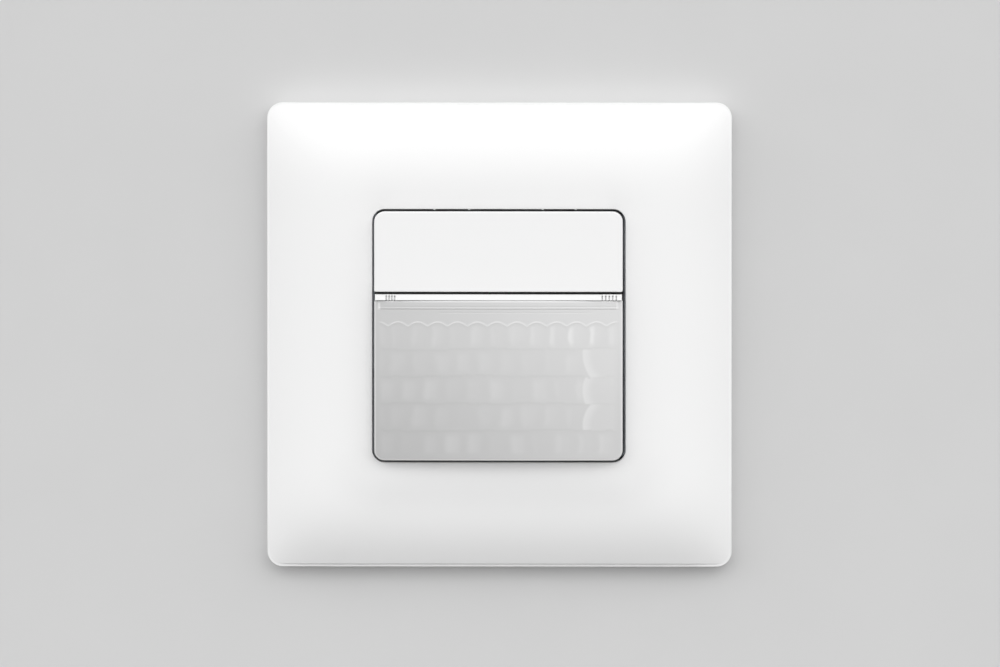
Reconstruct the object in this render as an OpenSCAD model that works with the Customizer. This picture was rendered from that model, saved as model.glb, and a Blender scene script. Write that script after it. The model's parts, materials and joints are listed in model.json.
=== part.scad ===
// Flush wall light switch with an infrared motion sensor.
// The wall is the plane Y = 0, the front faces -Y and Z is up.
// Modules are drawn flat, with x to the right, y up and z out of the wall; on_wall() stands them up.

/* [Surround plate] */
// Side of the square plate
plate_w = 83; // [80:0.5:88]
// Radius of the plate's outer corners
plate_r = 2.7; // [2:0.1:4]
// Height of the plate's edge in front of the wall
edge_h = 4.2; // [3.6:0.1:5]
// Rise from the plate's edge to its flat crown
crown_h = 4.5; // [4:0.1:5.5]
// Wall of the plate
plate_t = 1.8; // [1.5:0.1:2]
// How sharply the face rolls down towards its edge
roll_power = 3.2; // [2.6:0.1:4]
// Share of the roll that is eased away at the corners
corner_ease = 0.38; // [0.2:0.02:0.5]
// Length of each foot that grips the support frame
foot_l = 8; // [5:0.5:12]
// Distance of each foot from the plate's middle, up and down
foot_y = 15; // [12:0.5:18]

/* [Insert] */
// Side of the square opening in the plate
opening_w = 45.2; // [45:0.1:46]
// Radius of the opening's corners
opening_r = 2.2; // [1.8:0.1:3]
// Gap between the insert and the opening
insert_gap = 0.4; // [0.3:0.05:0.5]
// Height of the carrier's base plate
base_t = 1.2; // [1:0.1:1.5]
// Clearance between parts that are pushed together
fit_gap = 0.05; // [0.03:0.01:0.1]

/* [Push key] */
// Height of the key
key_h = 14.3; // [13.5:0.1:15]
// Distance of the key's face from the wall
key_front = 11; // [10.8:0.1:12]
// Wall of the key
key_t = 1.4; // [1.2:0.1:1.6]
// Depth of the key's skirt behind its face
key_depth = 4.8; // [4.4:0.1:5]
// Seam between the key and the light bar
key_seam = 0.45; // [0.35:0.05:0.6]
// Radius of the key's pivot pin
pivot_r = 0.8; // [0.6:0.05:0.9]
// Drop of the pivot below the key's top edge
pivot_drop = 3.2; // [3:0.1:3.6]
// Depth of the pivot behind the key's face
pivot_depth = 3.4; // [3.2:0.1:3.6]
// Distance of the key's lugs from the middle
lug_x = 17; // [16.8:0.1:18]
// Thickness of a lug and of a carrier ear
lug_t = 2; // [1.6:0.1:2.2]
// Running clearance round a pin
run_gap = 0.05; // [0.03:0.01:0.08]
// Distance of each return spring from the middle
spring_x = 8; // [7.6:0.1:8.4]
// Mean radius of a return spring
spring_r = 1.8; // [1.6:0.1:2]
// Wire of a return spring
spring_wire = 0.45; // [0.3:0.05:0.5]
// Curls of a return spring
spring_turns = 4; // [3:1:4]

/* [Light bar] */
// Height of the light bar
bar_h = 0.98; // [0.8:0.02:1.1]
// How far the bar's lower edge stands in front of its upper edge
bar_slope = 0.8; // [0.5:0.1:1]
// Depth of the bar behind its upper edge
bar_depth = 3.9; // [3.5:0.1:4]
// Grooves at each end of the bar
groove_count = 5; // [3:1:6]
// Spacing of the grooves
groove_pitch = 0.62; // [0.55:0.01:0.7]
// Width and depth of a groove
groove_w = 0.25; // [0.2:0.01:0.3]

/* [Lens] */
// Distance of the lens's crest from the wall
lens_front = 12.2; // [11.8:0.1:13]
// Fall of the lens from its crest to its sides
lens_bulge = 0.95; // [0.7:0.05:1.2]
// Wall of the lens
lens_t = 1.2; // [1:0.1:1.3]
// Seam between the light bar and the lens
lens_seam = 0.12; // [0.1:0.01:0.2]
// Columns of lens cells
cell_columns = 12; // [8:1:12]
// Spacing of the columns
cell_pitch_x = 3.4; // [3.2:0.05:3.45]
// Rows of lens cells
cell_rows = 5; // [3:1:5]
// Spacing of the rows
cell_pitch_y = 4.7; // [4.4:0.1:4.8]
// Radius of a cell's curve
cell_r = 1.55; // [1.4:0.05:1.55]
// Depth of a cell
cell_depth = 0.4; // [0.2:0.05:0.5]
// Drop of the first row below the lens's top edge
cell_drop = 6.8; // [6.6:0.1:7]
// Height of the shallow step along the lens's top
step_h = 1.65; // [1.2:0.05:2]
// Depth of that step
step_depth = 0.15; // [0.1:0.01:0.25]
// Margin of that step at each side
step_margin = 0.9; // [0.6:0.1:1.5]

/* [Sensor board] */
// Side of the square sensor board
board_w = 42.4; // [42:0.1:42.6]
// Thickness of both boards
board_t = 1.6; // [1.2:0.1:1.8]
// Radius of the sensor can
can_r = 4.1; // [3.8:0.1:4.4]
// Height of the sensor can
can_h = 4.2; // [3.8:0.1:4.4]
// Width of the sensor can's foot flange
can_flange = 0.5; // [0.4:0.05:0.6]
// Place of the sensor below the middle
can_drop = 8; // [7:0.5:10]
// Width and height of the sensor's filter window
window_size = [5, 4]; // [3.5:0.1:5]
// Thickness of the filter window
window_t = 0.4; // [0.3:0.05:0.6]
// Radius of the sensor's leads
lead_r = 0.22; // [0.2:0.01:0.3]
// Radius of the circle of leads
lead_circle = 2.54; // [2.2:0.01:2.8]
// Side and height of the tactile switch
tact_size = [6, 3.4]; // [3.2:0.1:6.4]
// Radius of its plunger
plunger_r = 1.6; // [1.4:0.05:1.7]
// How far the plunger stands out
plunger_out = 1; // [0.8:0.05:1.1]
// How far the plunger can go in
plunger_travel = 0.35; // [0.3:0.01:0.4]
// Place of the tactile switch above the middle
tact_y = 12.8; // [12.6:0.1:13]
// Side and height of a trimmer's base
trimmer_size = [6.4, 2.4]; // [2.2:0.1:6.6]
// Radius of a trimmer's dial
dial_r = 2.1; // [1.8:0.1:2.3]
// Height of a trimmer's dial
dial_h = 1.8; // [1.6:0.1:2]
// Place of the trimmers from the middle
trimmer_x = 15; // [14.8:0.1:15.4]
// Width, height and thickness of the indicator lamp
lamp_size = [3.2, 2.4, 1.1]; // [0.9:0.1:3.4]
// Width, height and thickness of the light sensor
light_sensor_size = [3, 2, 1.2]; // [1:0.1:3.4]
// Place of the light sensor
light_sensor_at = [10, -1]; // [-12:0.5:12]
// Side and height of the controller chip
chip_size = [7, 1.2]; // [1:0.1:8]
// Place of the controller chip
chip_at = [-12, -13]; // [-14:0.5:14]

/* [Rear housing] */
// Width of the housing's tub
housing_w = 42; // [41.8:0.1:42.2]
// Height of the housing's tub
housing_h = 46; // [45.8:0.1:46.2]
// Corner radius of the tub
housing_r = 9; // [8.5:0.1:9.2]
// Depth of the tub behind the wall's face
housing_depth = 28; // [27.8:0.1:30]
// Wall of the tub
housing_t = 1.8; // [1.6:0.05:1.85]
// Width of the tub's flange
flange_w = 44; // [43.8:0.1:44.2]
// Height of the tub's flange
flange_h = 55; // [54.5:0.1:56]
// Thickness of the flange
flange_t = 1.2; // [1:0.1:1.5]
// Height of the two boards' spacing
board_gap = 8.4; // [8:0.1:8.6]
// Distance of the flange screws from the middle, sideways
flange_screw_x = 17; // [15:0.5:18]
// Radius of the flange screws
flange_screw_r = 1.2; // [1:0.05:1.3]
// Radius of the flange screws' heads
flange_head_r = 2.1; // [1.9:0.05:2.2]
// Radius of the bosses under the power board
boss_r = 2.1; // [1.8:0.1:2.2]
// Radius of the board screws
board_screw_r = 0.9; // [0.7:0.05:1]
// Length of the board screws in the bosses
board_screw_l = 6; // [4:0.5:8]
// Height of every small screw's head
head_h = 1.4; // [1.2:0.1:1.5]
// Width of a screwdriver slot
slot_cut = 0.7; // [0.5:0.05:0.8]

/* [Support frame] */
// Side of the square steel frame
frame_w = 71; // [70:0.1:71.4]
// Thickness of the frame
frame_t = 1.2; // [1:0.05:1.3]
// Corner radius of the frame
frame_r = 4; // [2:0.5:6]
// Gap round the tub in the frame
tub_gap = 0.3; // [0.2:0.05:0.35]
// Spacing of the box screws
box_spacing = 60; // [60:0.1:60.2]
// Length of a box screw's slot
slot_l = 7; // [6:0.1:7.2]
// Width of a box screw's slot
slot_w = 3.8; // [3.4:0.1:4.2]
// Radius of the corner holes
corner_hole_r = 2.5; // [1.5:0.1:3]
// Distance of the corner holes from the middle
corner_hole_at = 29; // [28:0.1:30]

/* [Terminals] */
// Spacing of the terminals
term_pitch = 8.5; // [8.4:0.05:8.55]
// Width of a clamp
clamp_w = 6.8; // [6.6:0.05:6.9]
// Length of a clamp along the wire
clamp_l = 5; // [4.6:0.1:5.2]
// Wall of a clamp
clamp_t = 1; // [0.8:0.05:1.05]
// Room for the wire in an open clamp
wire_room = 4.6; // [4.5:0.05:4.8]
// Thickness of a contact bar
contact_t = 1; // [0.8:0.1:1.1]
// Room for the screw's end in an open clamp
screw_room = 2.4; // [2.3:0.1:2.5]
// Thickness of a clamp's threaded wall
clamp_nut_t = 1.5; // [1.3:0.05:1.6]
// Radius of a terminal screw
term_screw_r = 1.5; // [1.3:0.05:1.6]
// Radius of a terminal screw's head
term_head_r = 2.5; // [2.2:0.1:2.6]
// Travel of a clamp
clamp_travel = 2.5; // [2:0.1:2.5]
// Distance from the tub's lower wall to the clamps
clamp_back = 2; // [2:0.1:2.2]
// Gap round a screw head in its well
well_gap = 0.25; // [0.2:0.05:0.3]
// Thickness of the walls between the terminals
divider_t = 1; // [0.8:0.05:1.1]

/* [Claws] */
// Height of the claws above the middle
claw_y = 9; // [8.6:0.1:9.4]
// Gap from the tub to a claw's pivot axis
claw_pivot_out = 1.5; // [1.45:0.05:1.6]
// Depth of a claw's pivot axis behind the wall's face
claw_pivot_in = 3.2; // [3.1:0.1:3.5]
// Radius of a claw's pivot pin
claw_pin_r = 0.8; // [0.6:0.05:0.85]
// Thickness of a claw's cheeks and of the frame's ears
cheek_t = 1; // [0.8:0.05:1.1]
// Free width between a claw's cheeks
cheek_gap = 6; // [5.8:0.1:6.2]
// Length of a claw from its pivot
claw_l = 17; // [15:0.5:18]
// Distance from a claw's pivot to its screw
claw_lever = 2.5; // [2.45:0.05:2.6]
// Radius of the nose that the nut pushes
nose_r = 0.8; // [0.7:0.05:0.85]
// Radius of a claw screw
claw_screw_r = 1.5; // [1.3:0.05:1.55]
// Radius of a claw screw's head
claw_head_r = 2.4; // [2.2:0.05:2.45]
// Thickness of a claw nut
claw_nut_t = 2.2; // [1.8:0.1:2.4]
// Width of a claw nut, sideways
claw_nut_w = 4; // [3.8:0.1:4.2]

/* [Power parts] */
// Width, height and depth of the relay's case
relay_size = [12, 20, 15]; // [10:0.5:20]
// Wall of the relay's case
relay_t = 0.8; // [0.6:0.05:0.9]
// Place of the relay on the power board
relay_at = [-7.5, 4.5]; // [-8:0.1:5]
// Radius of the relay's winding
coil_r = 4.2; // [3.8:0.1:4.4]
// Length of the relay's winding
coil_l = 8.8; // [8:0.1:9]
// Radius of the relay's core
core_r = 1.6; // [1.2:0.1:1.8]
// Thickness of the relay's iron
iron_t = 1; // [0.8:0.05:1.1]
// Open gap between the core and the armature
iron_gap = 0.6; // [0.55:0.05:0.7]
// Width, height and depth of the film capacitor
film_size = [12, 5.5, 10]; // [5:0.5:12]
// Place of the film capacitor
film_at = [5.5, 11.5]; // [5:0.5:12]
// Radius of the can capacitor
can_cap_r = 4; // [3:0.1:4.2]
// Length of the can capacitor
can_cap_l = 12; // [8:0.5:14]
// Place of the can capacitor: inwards from the tub's side wall, and up
can_cap_at = [6.2, 2]; // [1:0.1:7]
// Radius of the choke
choke_r = 3.4; // [2.5:0.1:3.6]
// Length of the choke
choke_l = 8; // [6:0.5:10]
// Place of the choke
choke_at = [4, 2]; // [2:0.5:4.5]
// Radius of the varistor's disc
varistor_r = 3.6; // [2.5:0.1:3.8]
// Thickness of the varistor's disc
varistor_t = 3; // [2:0.1:3.2]
// Place of the varistor: inwards from the tub's side wall, and up
varistor_at = [4.2, 11]; // [4:0.1:11]
// Radius of the fuse
fuse_r = 1.8; // [1.4:0.1:2]
// Length of the fuse
fuse_l = 9; // [7:0.5:10]
// Place of the fuse
fuse_at = [4, -6]; // [-7:0.5:5]
// Width, height and depth of the rectifier
rectifier_size = [5, 4, 2.4]; // [2:0.1:6]
// Place of the rectifier
rectifier_at = [-7, -9]; // [-9:0.5:-6]
// Side of a header pin
pin_w = 0.64; // [0.5:0.02:0.7]
// Spacing of the header pins
pin_pitch = 2.54; // [2.5:0.01:2.6]
// Number of header pins
pin_count = 5; // [3:1:6]
// Height of the header's strip
strip_h = 2.6; // [2:0.1:3]
// Place of the header on the boards
header_at = [0, -3]; // [-4:0.5:4]

/* [Hidden] */
$fn = 64;
// Overrun of a cut past the face that it opens
over = 1;
white = "#f3f3f1";
milky = "#cdd0d1";
dark_plastic = "#3a3d40";
grey_plastic = "#8f9396";
steel = "#b9bcc0";
brass = "#c2a14d";
copper = "#b0703c";
board_green = "#2f6b45";
black_part = "#222325";

// Heights in front of the wall, from the wall outwards
flange_front = frame_t + flange_t;
board_front = flange_front + board_t;
base_front = board_front + base_t;
power_front = flange_front - board_gap;
power_back = power_front - board_t;
floor_in = -housing_depth + housing_t;

// Outlines of the plate and the insert
plate_a = plate_w / 2;
opening_a = opening_w / 2;
ring_w = plate_a - opening_a;
insert_a = opening_a - insert_gap;
insert_r = opening_r - insert_gap;
sleeve_gap = 0.2;
sleeve_z = base_front + sleeve_gap;
key_bottom = insert_a - key_h;
bar_top = key_bottom - key_seam;
bar_bottom = bar_top - bar_h;
lens_top = bar_bottom - lens_seam;
key_back = key_front - key_depth;
pivot_y = insert_a - pivot_drop;
pivot_z = key_front - pivot_depth;
ear_clear = 0.3;
ear_x = lug_x - lug_t - 2 * fit_gap - ear_clear;
bar_back = key_front - bar_depth;
lens_h = lens_top + insert_a;
lens_mid = (lens_top - insert_a) / 2;
lens_curve = (pow(insert_a, 2) + pow(lens_bulge, 2)) / (2 * lens_bulge);
lens_axis = lens_front - lens_curve;
lens_sides = 1440;
upstand = 3;
upstand_t = 1;
upstand_gap = 2 * fit_gap;
tact_top = board_front + tact_size[1];
plunger_top = tact_top + plunger_out;
peg_w = 6;
peg_x = 11;
peg_depth = 3.4;

// Terminals, from the tub's lower wall upwards and from the contact bars outwards
tub_a = [housing_w / 2 - housing_t, housing_h / 2 - housing_t];
tub_r = housing_r - housing_t;
corner_gap = 0.25;
clamp_corner = 1.5 * term_pitch + clamp_w / 2 - tub_a[0] + tub_r;
clamp_rise = tub_r - sqrt(max(0, pow(tub_r - corner_gap, 2) - pow(max(0, clamp_corner), 2)));
clamp_y = -tub_a[1] + max(clamp_back, clamp_rise);
floor_gap = 1.2;
contact_front = floor_in + floor_gap + clamp_travel + clamp_nut_t + screw_room + contact_t;
contact_back = contact_front - contact_t;
clamp_front = contact_front + wire_room + clamp_t;
clamp_rear = contact_back - screw_room - clamp_nut_t;
bar_reach = 1;
leg_t = 1;
leg_w = 2.4;
contact_clear = 0.4;
contact_w = clamp_w - 2 * clamp_t - contact_clear;
leg_gap = 0.6;
leg_y = clamp_y + clamp_l + leg_gap + leg_t / 2;
function term_x(i) = (i - 1.5) * term_pitch;

// Claws
flange_gap = 0.5;
claw_screw_x = max(housing_w / 2 + claw_pivot_out + claw_lever, flange_w / 2 + claw_head_r + flange_gap);
claw_pivot_x = claw_screw_x - claw_lever;
nose_drop = 1;
claw_arm = 1.6;
claw_boss_t = 0.45;
claw_boss_r = claw_pin_r + claw_boss_t;
nut_front = -claw_pivot_in - nose_drop - nose_r - 2 * fit_gap;
nut_back = nut_front - claw_nut_t;
ear_gap = 0.2;
ear_in = cheek_gap / 2 + cheek_t + ear_gap;
pin_half = ear_in + cheek_t + ear_gap;

// Bosses and screws, inwards from the tub's walls
upper_boss_in = [5, 4.3];
lower_boss_in = [2.7, 12.7];
boss_at = [for (sx = [-1, 1]) each [
    [sx * (tub_a[0] - upper_boss_in[0]), tub_a[1] - upper_boss_in[1]],
    [sx * (tub_a[0] - lower_boss_in[0]), lower_boss_in[1] - tub_a[1]]]];
flange_screw_y = max((housing_h / 2 + tub_gap + flange_h / 2) / 2, board_w / 2 + flange_head_r + 2 * fit_gap);

// Helpers
module on_wall() rotate([90, 0, 0]) children();

// A block from z0 to z1 with its middle at x, y
module block(x, y, z0, z1, w, h) translate([x - w / 2, y - h / 2, z0]) cube([w, h, z1 - z0]);

// A round bar from z0 to z1
module post(x, y, z0, z1, r) translate([x, y, z0]) cylinder(h = z1 - z0, r = r);

// A round bar along x, from x0 to x1
module rod_x(x0, x1, y, z, r) translate([x0, y, z]) rotate([0, 90, 0]) cylinder(h = x1 - x0, r = r);

// A round bar along y, from y0 to y1
module rod_y(y0, y1, x, z, r) translate([x, y0, z]) rotate([-90, 0, 0]) cylinder(h = y1 - y0, r = r);

// A rectangle with round corners
module rounded(w, h, r) {
    square([w - 2 * r, h], center = true);
    square([w, h - 2 * r], center = true);
    for (sx = [-1, 1], sy = [-1, 1]) translate([sx * (w / 2 - r), sy * (h / 2 - r)]) circle(r);
}

// A rounded slab from z0 to z1
module slab(w, h, r, z0, z1) translate([0, 0, z0]) linear_extrude(z1 - z0) rounded(w, h, r);

// A slotted pan-head screw whose head stands from z0 towards the front
module pan_screw(x, y, z0, tip, r, head_r, head) {
    difference() {
        post(x, y, z0, z0 + head, head_r);
        block(x, y, z0 + head / 2, z0 + head + over, 2 * head_r + over, slot_cut);
    }
    post(x, y, tip, z0, r);
}

// Surround plate: a ring swept round the opening
side_steps = 12;
corner_steps = 4;
face_steps = 10;
back_steps = 6;
skirt = plate_t / ring_w;
ease_power = 6;

// Places round the ring as [side, fraction along the side, angle round the corner]
RING = [for (k = [0:3]) each concat(
    [for (i = [0:side_steps]) [k, 2 * i / side_steps - 1, 0]],
    [for (j = [1:corner_steps - 1]) [k, 1, 90 * j / corner_steps]])];

function turned(p, k) = k == 0 ? p : k == 1 ? [-p[1], p[0]] : k == 2 ? -p : [p[1], -p[0]];
function outline_point(half, r, place) =
    turned([half - r + r * cos(place[2]), place[1] * (half - r) + r * sin(place[2])], place[0]);
function roll(u, v) =
    pow(max(0, (abs(u) - opening_a) / ring_w), roll_power) * (1 - corner_ease * pow(v / plate_a, ease_power));
function face_z(p) = edge_h + crown_h * (1 - roll(p[0], p[1]) - roll(p[1], p[0]));
function face_step(i) = 1 - pow(1 - i / face_steps, 2);
function back_step(i) = skirt + (1 - 2 * skirt) * (1 - pow(i / back_steps, 2));
function plate_section(inner, outer) = concat(
    [[0, sleeve_z]],
    [for (i = [0:face_steps]) [face_step(i), face_z(inner + (outer - inner) * face_step(i))]],
    [[1, 0], [1 - skirt, 0]],
    [for (i = [0:back_steps]) [back_step(i), face_z(inner + (outer - inner) * back_step(i)) - plate_t]],
    [[skirt, sleeve_z]]);

module plate_shell() {
    count = len(RING);
    width = face_steps + back_steps + 6;
    points = [for (place = RING)
        let (inner = outline_point(opening_a, opening_r, place))
        let (outer = outline_point(plate_a, plate_r, place))
        for (q = plate_section(inner, outer)) [each inner + (outer - inner) * q[0], q[1]]];
    faces = [for (i = [0:count - 1], j = [0:width - 1])
        let (a = i * width, b = ((i + 1) % count) * width, n = (j + 1) % width)
        each [[a + j, b + j, b + n], [a + j, b + n, a + n]]];
    polyhedron(points, faces, convexity = 6);
}

module surround_plate() color(white) on_wall() {
    seat = frame_w / 2;
    seat_w = 1.6;
    lip_w = 1;
    lip_lift = 0.3;
    lip_end = seat + fit_gap + lip_w;
    foot_top = face_z([lip_end, foot_y]) - plate_t / 2;
    plate_shell();
    for (sx = [-1, 1], sy = [-1, 1]) {
        block(sx * (seat - seat_w + lip_end) / 2, sy * foot_y, frame_t, foot_top, lip_end - seat + seat_w, foot_l);
        block(sx * (lip_end - lip_w / 2), sy * foot_y, lip_lift, foot_top, lip_w, foot_l);
    }
}

// Push key
module key_outline(inset) {
    w = 2 * (insert_a - inset);
    h = key_h - 2 * inset;
    translate([0, insert_a - key_h / 2]) {
        rounded(w, h, insert_r - inset);
        translate([0, -h / 4]) square([w, h / 2], center = true);
    }
}

module push_key() color(white) on_wall() difference() {
    lug_wall = 0.9;
    lug_r = pivot_r + lug_wall;
    tip_r = 1.2;
    tip_z = plunger_top + fit_gap;
    union() {
        difference() {
            translate([0, 0, key_back]) linear_extrude(key_depth) key_outline(0);
            translate([0, 0, key_back - over]) linear_extrude(key_depth - key_t + over) key_outline(key_t);
        }
        for (sx = [-1, 1]) {
            rod_x(sx * lug_x - lug_t / 2, sx * lug_x + lug_t / 2, pivot_y, pivot_z, lug_r);
            block(sx * lug_x, pivot_y, pivot_z, key_front - key_t / 2, lug_t, 2 * lug_r);
        }
        post(0, tact_y, tip_z + tip_r, key_front - key_t / 2, tip_r);
        translate([0, tact_y, tip_z + tip_r]) sphere(tip_r);
    }
    for (sx = [-1, 1])
        rod_x(sx * lug_x - lug_t, sx * lug_x + lug_t, pivot_y, pivot_z, pivot_r + run_gap);
}

module key_pivot_pin() color(steel) on_wall()
    rod_x(-lug_x - lug_t / 2, lug_x + lug_t / 2, pivot_y, pivot_z, pivot_r);

// Return springs: each one unbroken tube along a helix
spring_rings = 8 * spring_turns;
spring_sides = 6;
spring_bottom = base_front + fit_gap;
spring_rise = key_front - key_t - fit_gap - spring_bottom - spring_wire;
echo(str("least gap between spring curls: ", spring_rise / spring_turns - spring_wire, " mm"));

module coil_spring(x, y) {
    function ring_point(i, j) =
        let (turn = 360 * i / 8, side = 360 * j / spring_sides)
        let (r = spring_r + spring_wire / 2 * cos(side))
        [x + r * cos(turn), y + r * sin(turn),
            spring_bottom + spring_wire / 2 + spring_rise * i / spring_rings + spring_wire / 2 * sin(side)];
    points = [for (i = [0:spring_rings], j = [0:spring_sides - 1]) ring_point(i, j)];
    last = spring_rings * spring_sides;
    walls = [for (i = [0:spring_rings - 1], j = [0:spring_sides - 1])
        let (a = i * spring_sides, b = a + spring_sides, n = (j + 1) % spring_sides)
        each [[a + j, b + n, b + j], [a + j, a + n, b + n]]];
    ends = [for (j = [1:spring_sides - 2]) each [[0, j + 1, j], [last, last + j, last + j + 1]]];
    polyhedron(points, concat(walls, ends), convexity = 8);
}

module key_springs() color(steel) on_wall() for (sx = [-1, 1]) coil_spring(sx * spring_x, tact_y);

// Carrier of the key, the bar and the lens
module insert_carrier() color(dark_plastic) on_wall() {
    lens_in = insert_a - lens_t - upstand_gap;
    lens_in_top = lens_top - lens_t - upstand_gap;
    ring_h = lens_in_top + lens_in;
    ring_mid = (lens_in_top - lens_in) / 2;
    window_margin = 0.6;
    tact_room = 1.5;
    ear_wall = 0.6;
    ear_up = pivot_r + ear_wall;
    spigot_r = spring_r - spring_wire / 2 - 3 * fit_gap;
    difference() {
        slab(2 * insert_a, 2 * insert_a, insert_r, board_front, base_front);
        block(0, tact_y, board_front - over, base_front + over, tact_size[0] + tact_room, tact_size[0] + tact_room);
        for (sx = [-1, 1])
            block(sx * trimmer_x, tact_y, board_front - over, base_front + over,
                trimmer_size[0] + tact_room / 2, trimmer_size[0] + tact_room / 2);
        block(0, ring_mid, board_front - over, base_front + over,
            2 * (lens_in - upstand_t - window_margin), ring_h - 2 * (upstand_t + window_margin));
        block(0, (bar_top + bar_bottom) / 2, board_front - over, base_front + over,
            lamp_size[0] + window_margin, lamp_size[1] + window_margin);
    }
    translate([0, 0, base_front]) linear_extrude(upstand) difference() {
        lens_outline(lens_t + upstand_gap);
        lens_outline(lens_t + upstand_gap + upstand_t);
    }
    difference() {
        block(0, (bar_top + bar_bottom) / 2, base_front, bar_back, 2 * insert_a - insert_gap, bar_h);
        block(0, (bar_top + bar_bottom) / 2, base_front - over, bar_back + over,
            lamp_size[0] + window_margin, bar_h + over);
    }
    for (sx = [-1, 1]) {
        difference() {
            block(sx * ear_x, pivot_y - ear_up / 4, base_front, pivot_z + ear_up, lug_t, 2 * ear_up + ear_up / 2);
            rod_x(sx * ear_x - lug_t, sx * ear_x + lug_t, pivot_y, pivot_z, pivot_r + fit_gap / 2);
        }
        post(sx * spring_x, tact_y, base_front, base_front + upstand / 2, spigot_r);
        for (sy = [-1, 1])
            block(sx * peg_x, sy * (insert_a + board_w / 2 + 2 * fit_gap) / 2, board_front - peg_depth, board_front,
                peg_w, insert_a - board_w / 2 - 2 * fit_gap);
    }
}

// Light bar with its stem above the lamp and its grooved ends
module light_bar() color("white") on_wall() difference() {
    length = 2 * insert_a - insert_gap;
    stem_gap = 0.2;
    stem_back = board_front + lamp_size[2] + stem_gap;
    end_block = 1.4;
    groove_start = length / 2 - end_block;
    union() {
        rotate([90, 0, 90]) translate([0, 0, -length / 2]) linear_extrude(length) polygon([
            [bar_top, bar_back], [bar_top, key_front], [bar_bottom, key_front + bar_slope], [bar_bottom, bar_back]]);
        block(0, (bar_top + bar_bottom) / 2, stem_back, bar_back + fit_gap, lamp_size[0], bar_h);
    }
    for (sx = [-1, 1], i = [0:groove_count - 1])
        translate([sx * (groove_start - i * groove_pitch), (bar_top + bar_bottom) / 2, key_front + bar_slope / 2])
            rotate([-atan(bar_slope / bar_h), 0, 0])
                cube([groove_w, 3 * bar_h, 2 * groove_w], center = true);
}

// Lens: a curved window with side walls and rows of cells on its inner face
module lens_outline(inset) {
    w = 2 * (insert_a - inset);
    h = lens_h - 2 * inset;
    r = max(insert_r - inset, fit_gap);
    translate([0, lens_mid]) {
        rounded(w, h, r);
        translate([0, h / 4]) square([w, h / 2], center = true);
    }
}

module lens_block(inset, back, r) intersection() {
    translate([0, 0, back]) linear_extrude(lens_front - back + over) lens_outline(inset);
    rod_y(-insert_a - over, lens_top + over, 0, lens_axis, r, $fn = lens_sides);
}

module lens_cover() color(milky) on_wall() difference() {
    inner_r = lens_curve - lens_t;
    step_w = 2 * (insert_a - step_margin);
    lens_block(0, base_front, lens_curve);
    lens_block(lens_t, base_front - over, inner_r);
    difference() {
        block(0, lens_top - step_h / 2 + over / 2, key_front - over, lens_front + over, step_w, step_h + over);
        rod_y(lens_top - step_h - over, lens_top + 2 * over, 0, lens_axis, lens_curve - step_depth,
            $fn = lens_sides);
    }
    for (i = [0:cell_columns - 1], j = [0:cell_rows - 1]) {
        x = (i - (cell_columns - 1) / 2) * cell_pitch_x;
        y = lens_top - cell_drop - j * cell_pitch_y;
        z = lens_axis + sqrt(pow(inner_r, 2) - x * x);
        translate([x, y, z + cell_depth - cell_r]) sphere(cell_r);
    }
}

// Sensor board and what stands on it
module sensor_board() color(board_green) on_wall() difference() {
    slab(board_w, board_w, insert_r, flange_front, board_front);
    for (a = [0:2]) lead(a, flange_front - over, board_front + over, lead_r + run_gap);
}

module lead(i, z0, z1, r)
    post(lead_circle * cos(90 + 120 * i), lead_circle * sin(90 + 120 * i) - can_drop, z0, z1, r);

module sensor_can() color(steel) on_wall() difference() {
    union() {
        post(0, -can_drop, board_front, board_front + can_flange, can_r + can_flange);
        post(0, -can_drop, board_front, board_front + can_h, can_r);
    }
    block(0, -can_drop, board_front + can_h - window_t, board_front + can_h + over,
        window_size[0] + 2 * fit_gap, window_size[1] + 2 * fit_gap);
}

module sensor_window() color(black_part) on_wall()
    block(0, -can_drop, board_front + can_h - window_t, board_front + can_h, window_size[0], window_size[1]);

module sensor_leads() color(brass) on_wall()
    for (i = [0:2]) lead(i, flange_front - board_t / 2, board_front, lead_r);

module light_sensor() color(black_part) on_wall()
    block(light_sensor_at[0], light_sensor_at[1], board_front, board_front + light_sensor_size[2],
        light_sensor_size[0], light_sensor_size[1]);

module indicator_lamp() color("white") on_wall()
    block(0, (bar_top + bar_bottom) / 2, board_front, board_front + lamp_size[2], lamp_size[0], lamp_size[1]);

module controller_chip() color(black_part) on_wall()
    block(chip_at[0], chip_at[1], board_front, board_front + chip_size[1], chip_size[0], chip_size[0]);

plunger_in = 1.2;

module tact_switch() color(black_part) on_wall() difference() {
    block(0, tact_y, board_front, tact_top, tact_size[0], tact_size[0]);
    post(0, tact_y, tact_top - plunger_in - plunger_travel - fit_gap, tact_top + over, plunger_r + run_gap);
}

module tact_plunger() color(grey_plastic) on_wall()
    post(0, tact_y, tact_top - plunger_in, plunger_top, plunger_r);

// Trimmers: a square base with a round dial sunk in it
dial_out = 0.6;
dial_top = board_front + trimmer_size[1] + dial_out;

module trimmer_bases() color("royalblue") on_wall() for (sx = [-1, 1]) difference() {
    block(sx * trimmer_x, tact_y, board_front, board_front + trimmer_size[1], trimmer_size[0], trimmer_size[0]);
    post(sx * trimmer_x, tact_y, dial_top - dial_h - fit_gap, dial_top + over, dial_r + run_gap);
}

module trimmer_dial(x) difference() {
    arrow = 0.6;
    post(x, tact_y, dial_top - dial_h, dial_top, dial_r);
    block(x, tact_y, dial_top - arrow, dial_top + over, 2 * dial_r - arrow, arrow);
    block(x, tact_y + dial_r / 4, dial_top - arrow, dial_top + over, arrow, dial_r);
}

module time_dial() color("white") on_wall() trimmer_dial(-trimmer_x);
module lux_dial() color("white") on_wall() trimmer_dial(trimmer_x);

// Header between the two boards
module header_strip() color(black_part) on_wall()
    block(header_at[0], header_at[1], power_front, power_front + strip_h, pin_count * pin_pitch, pin_pitch);

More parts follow.
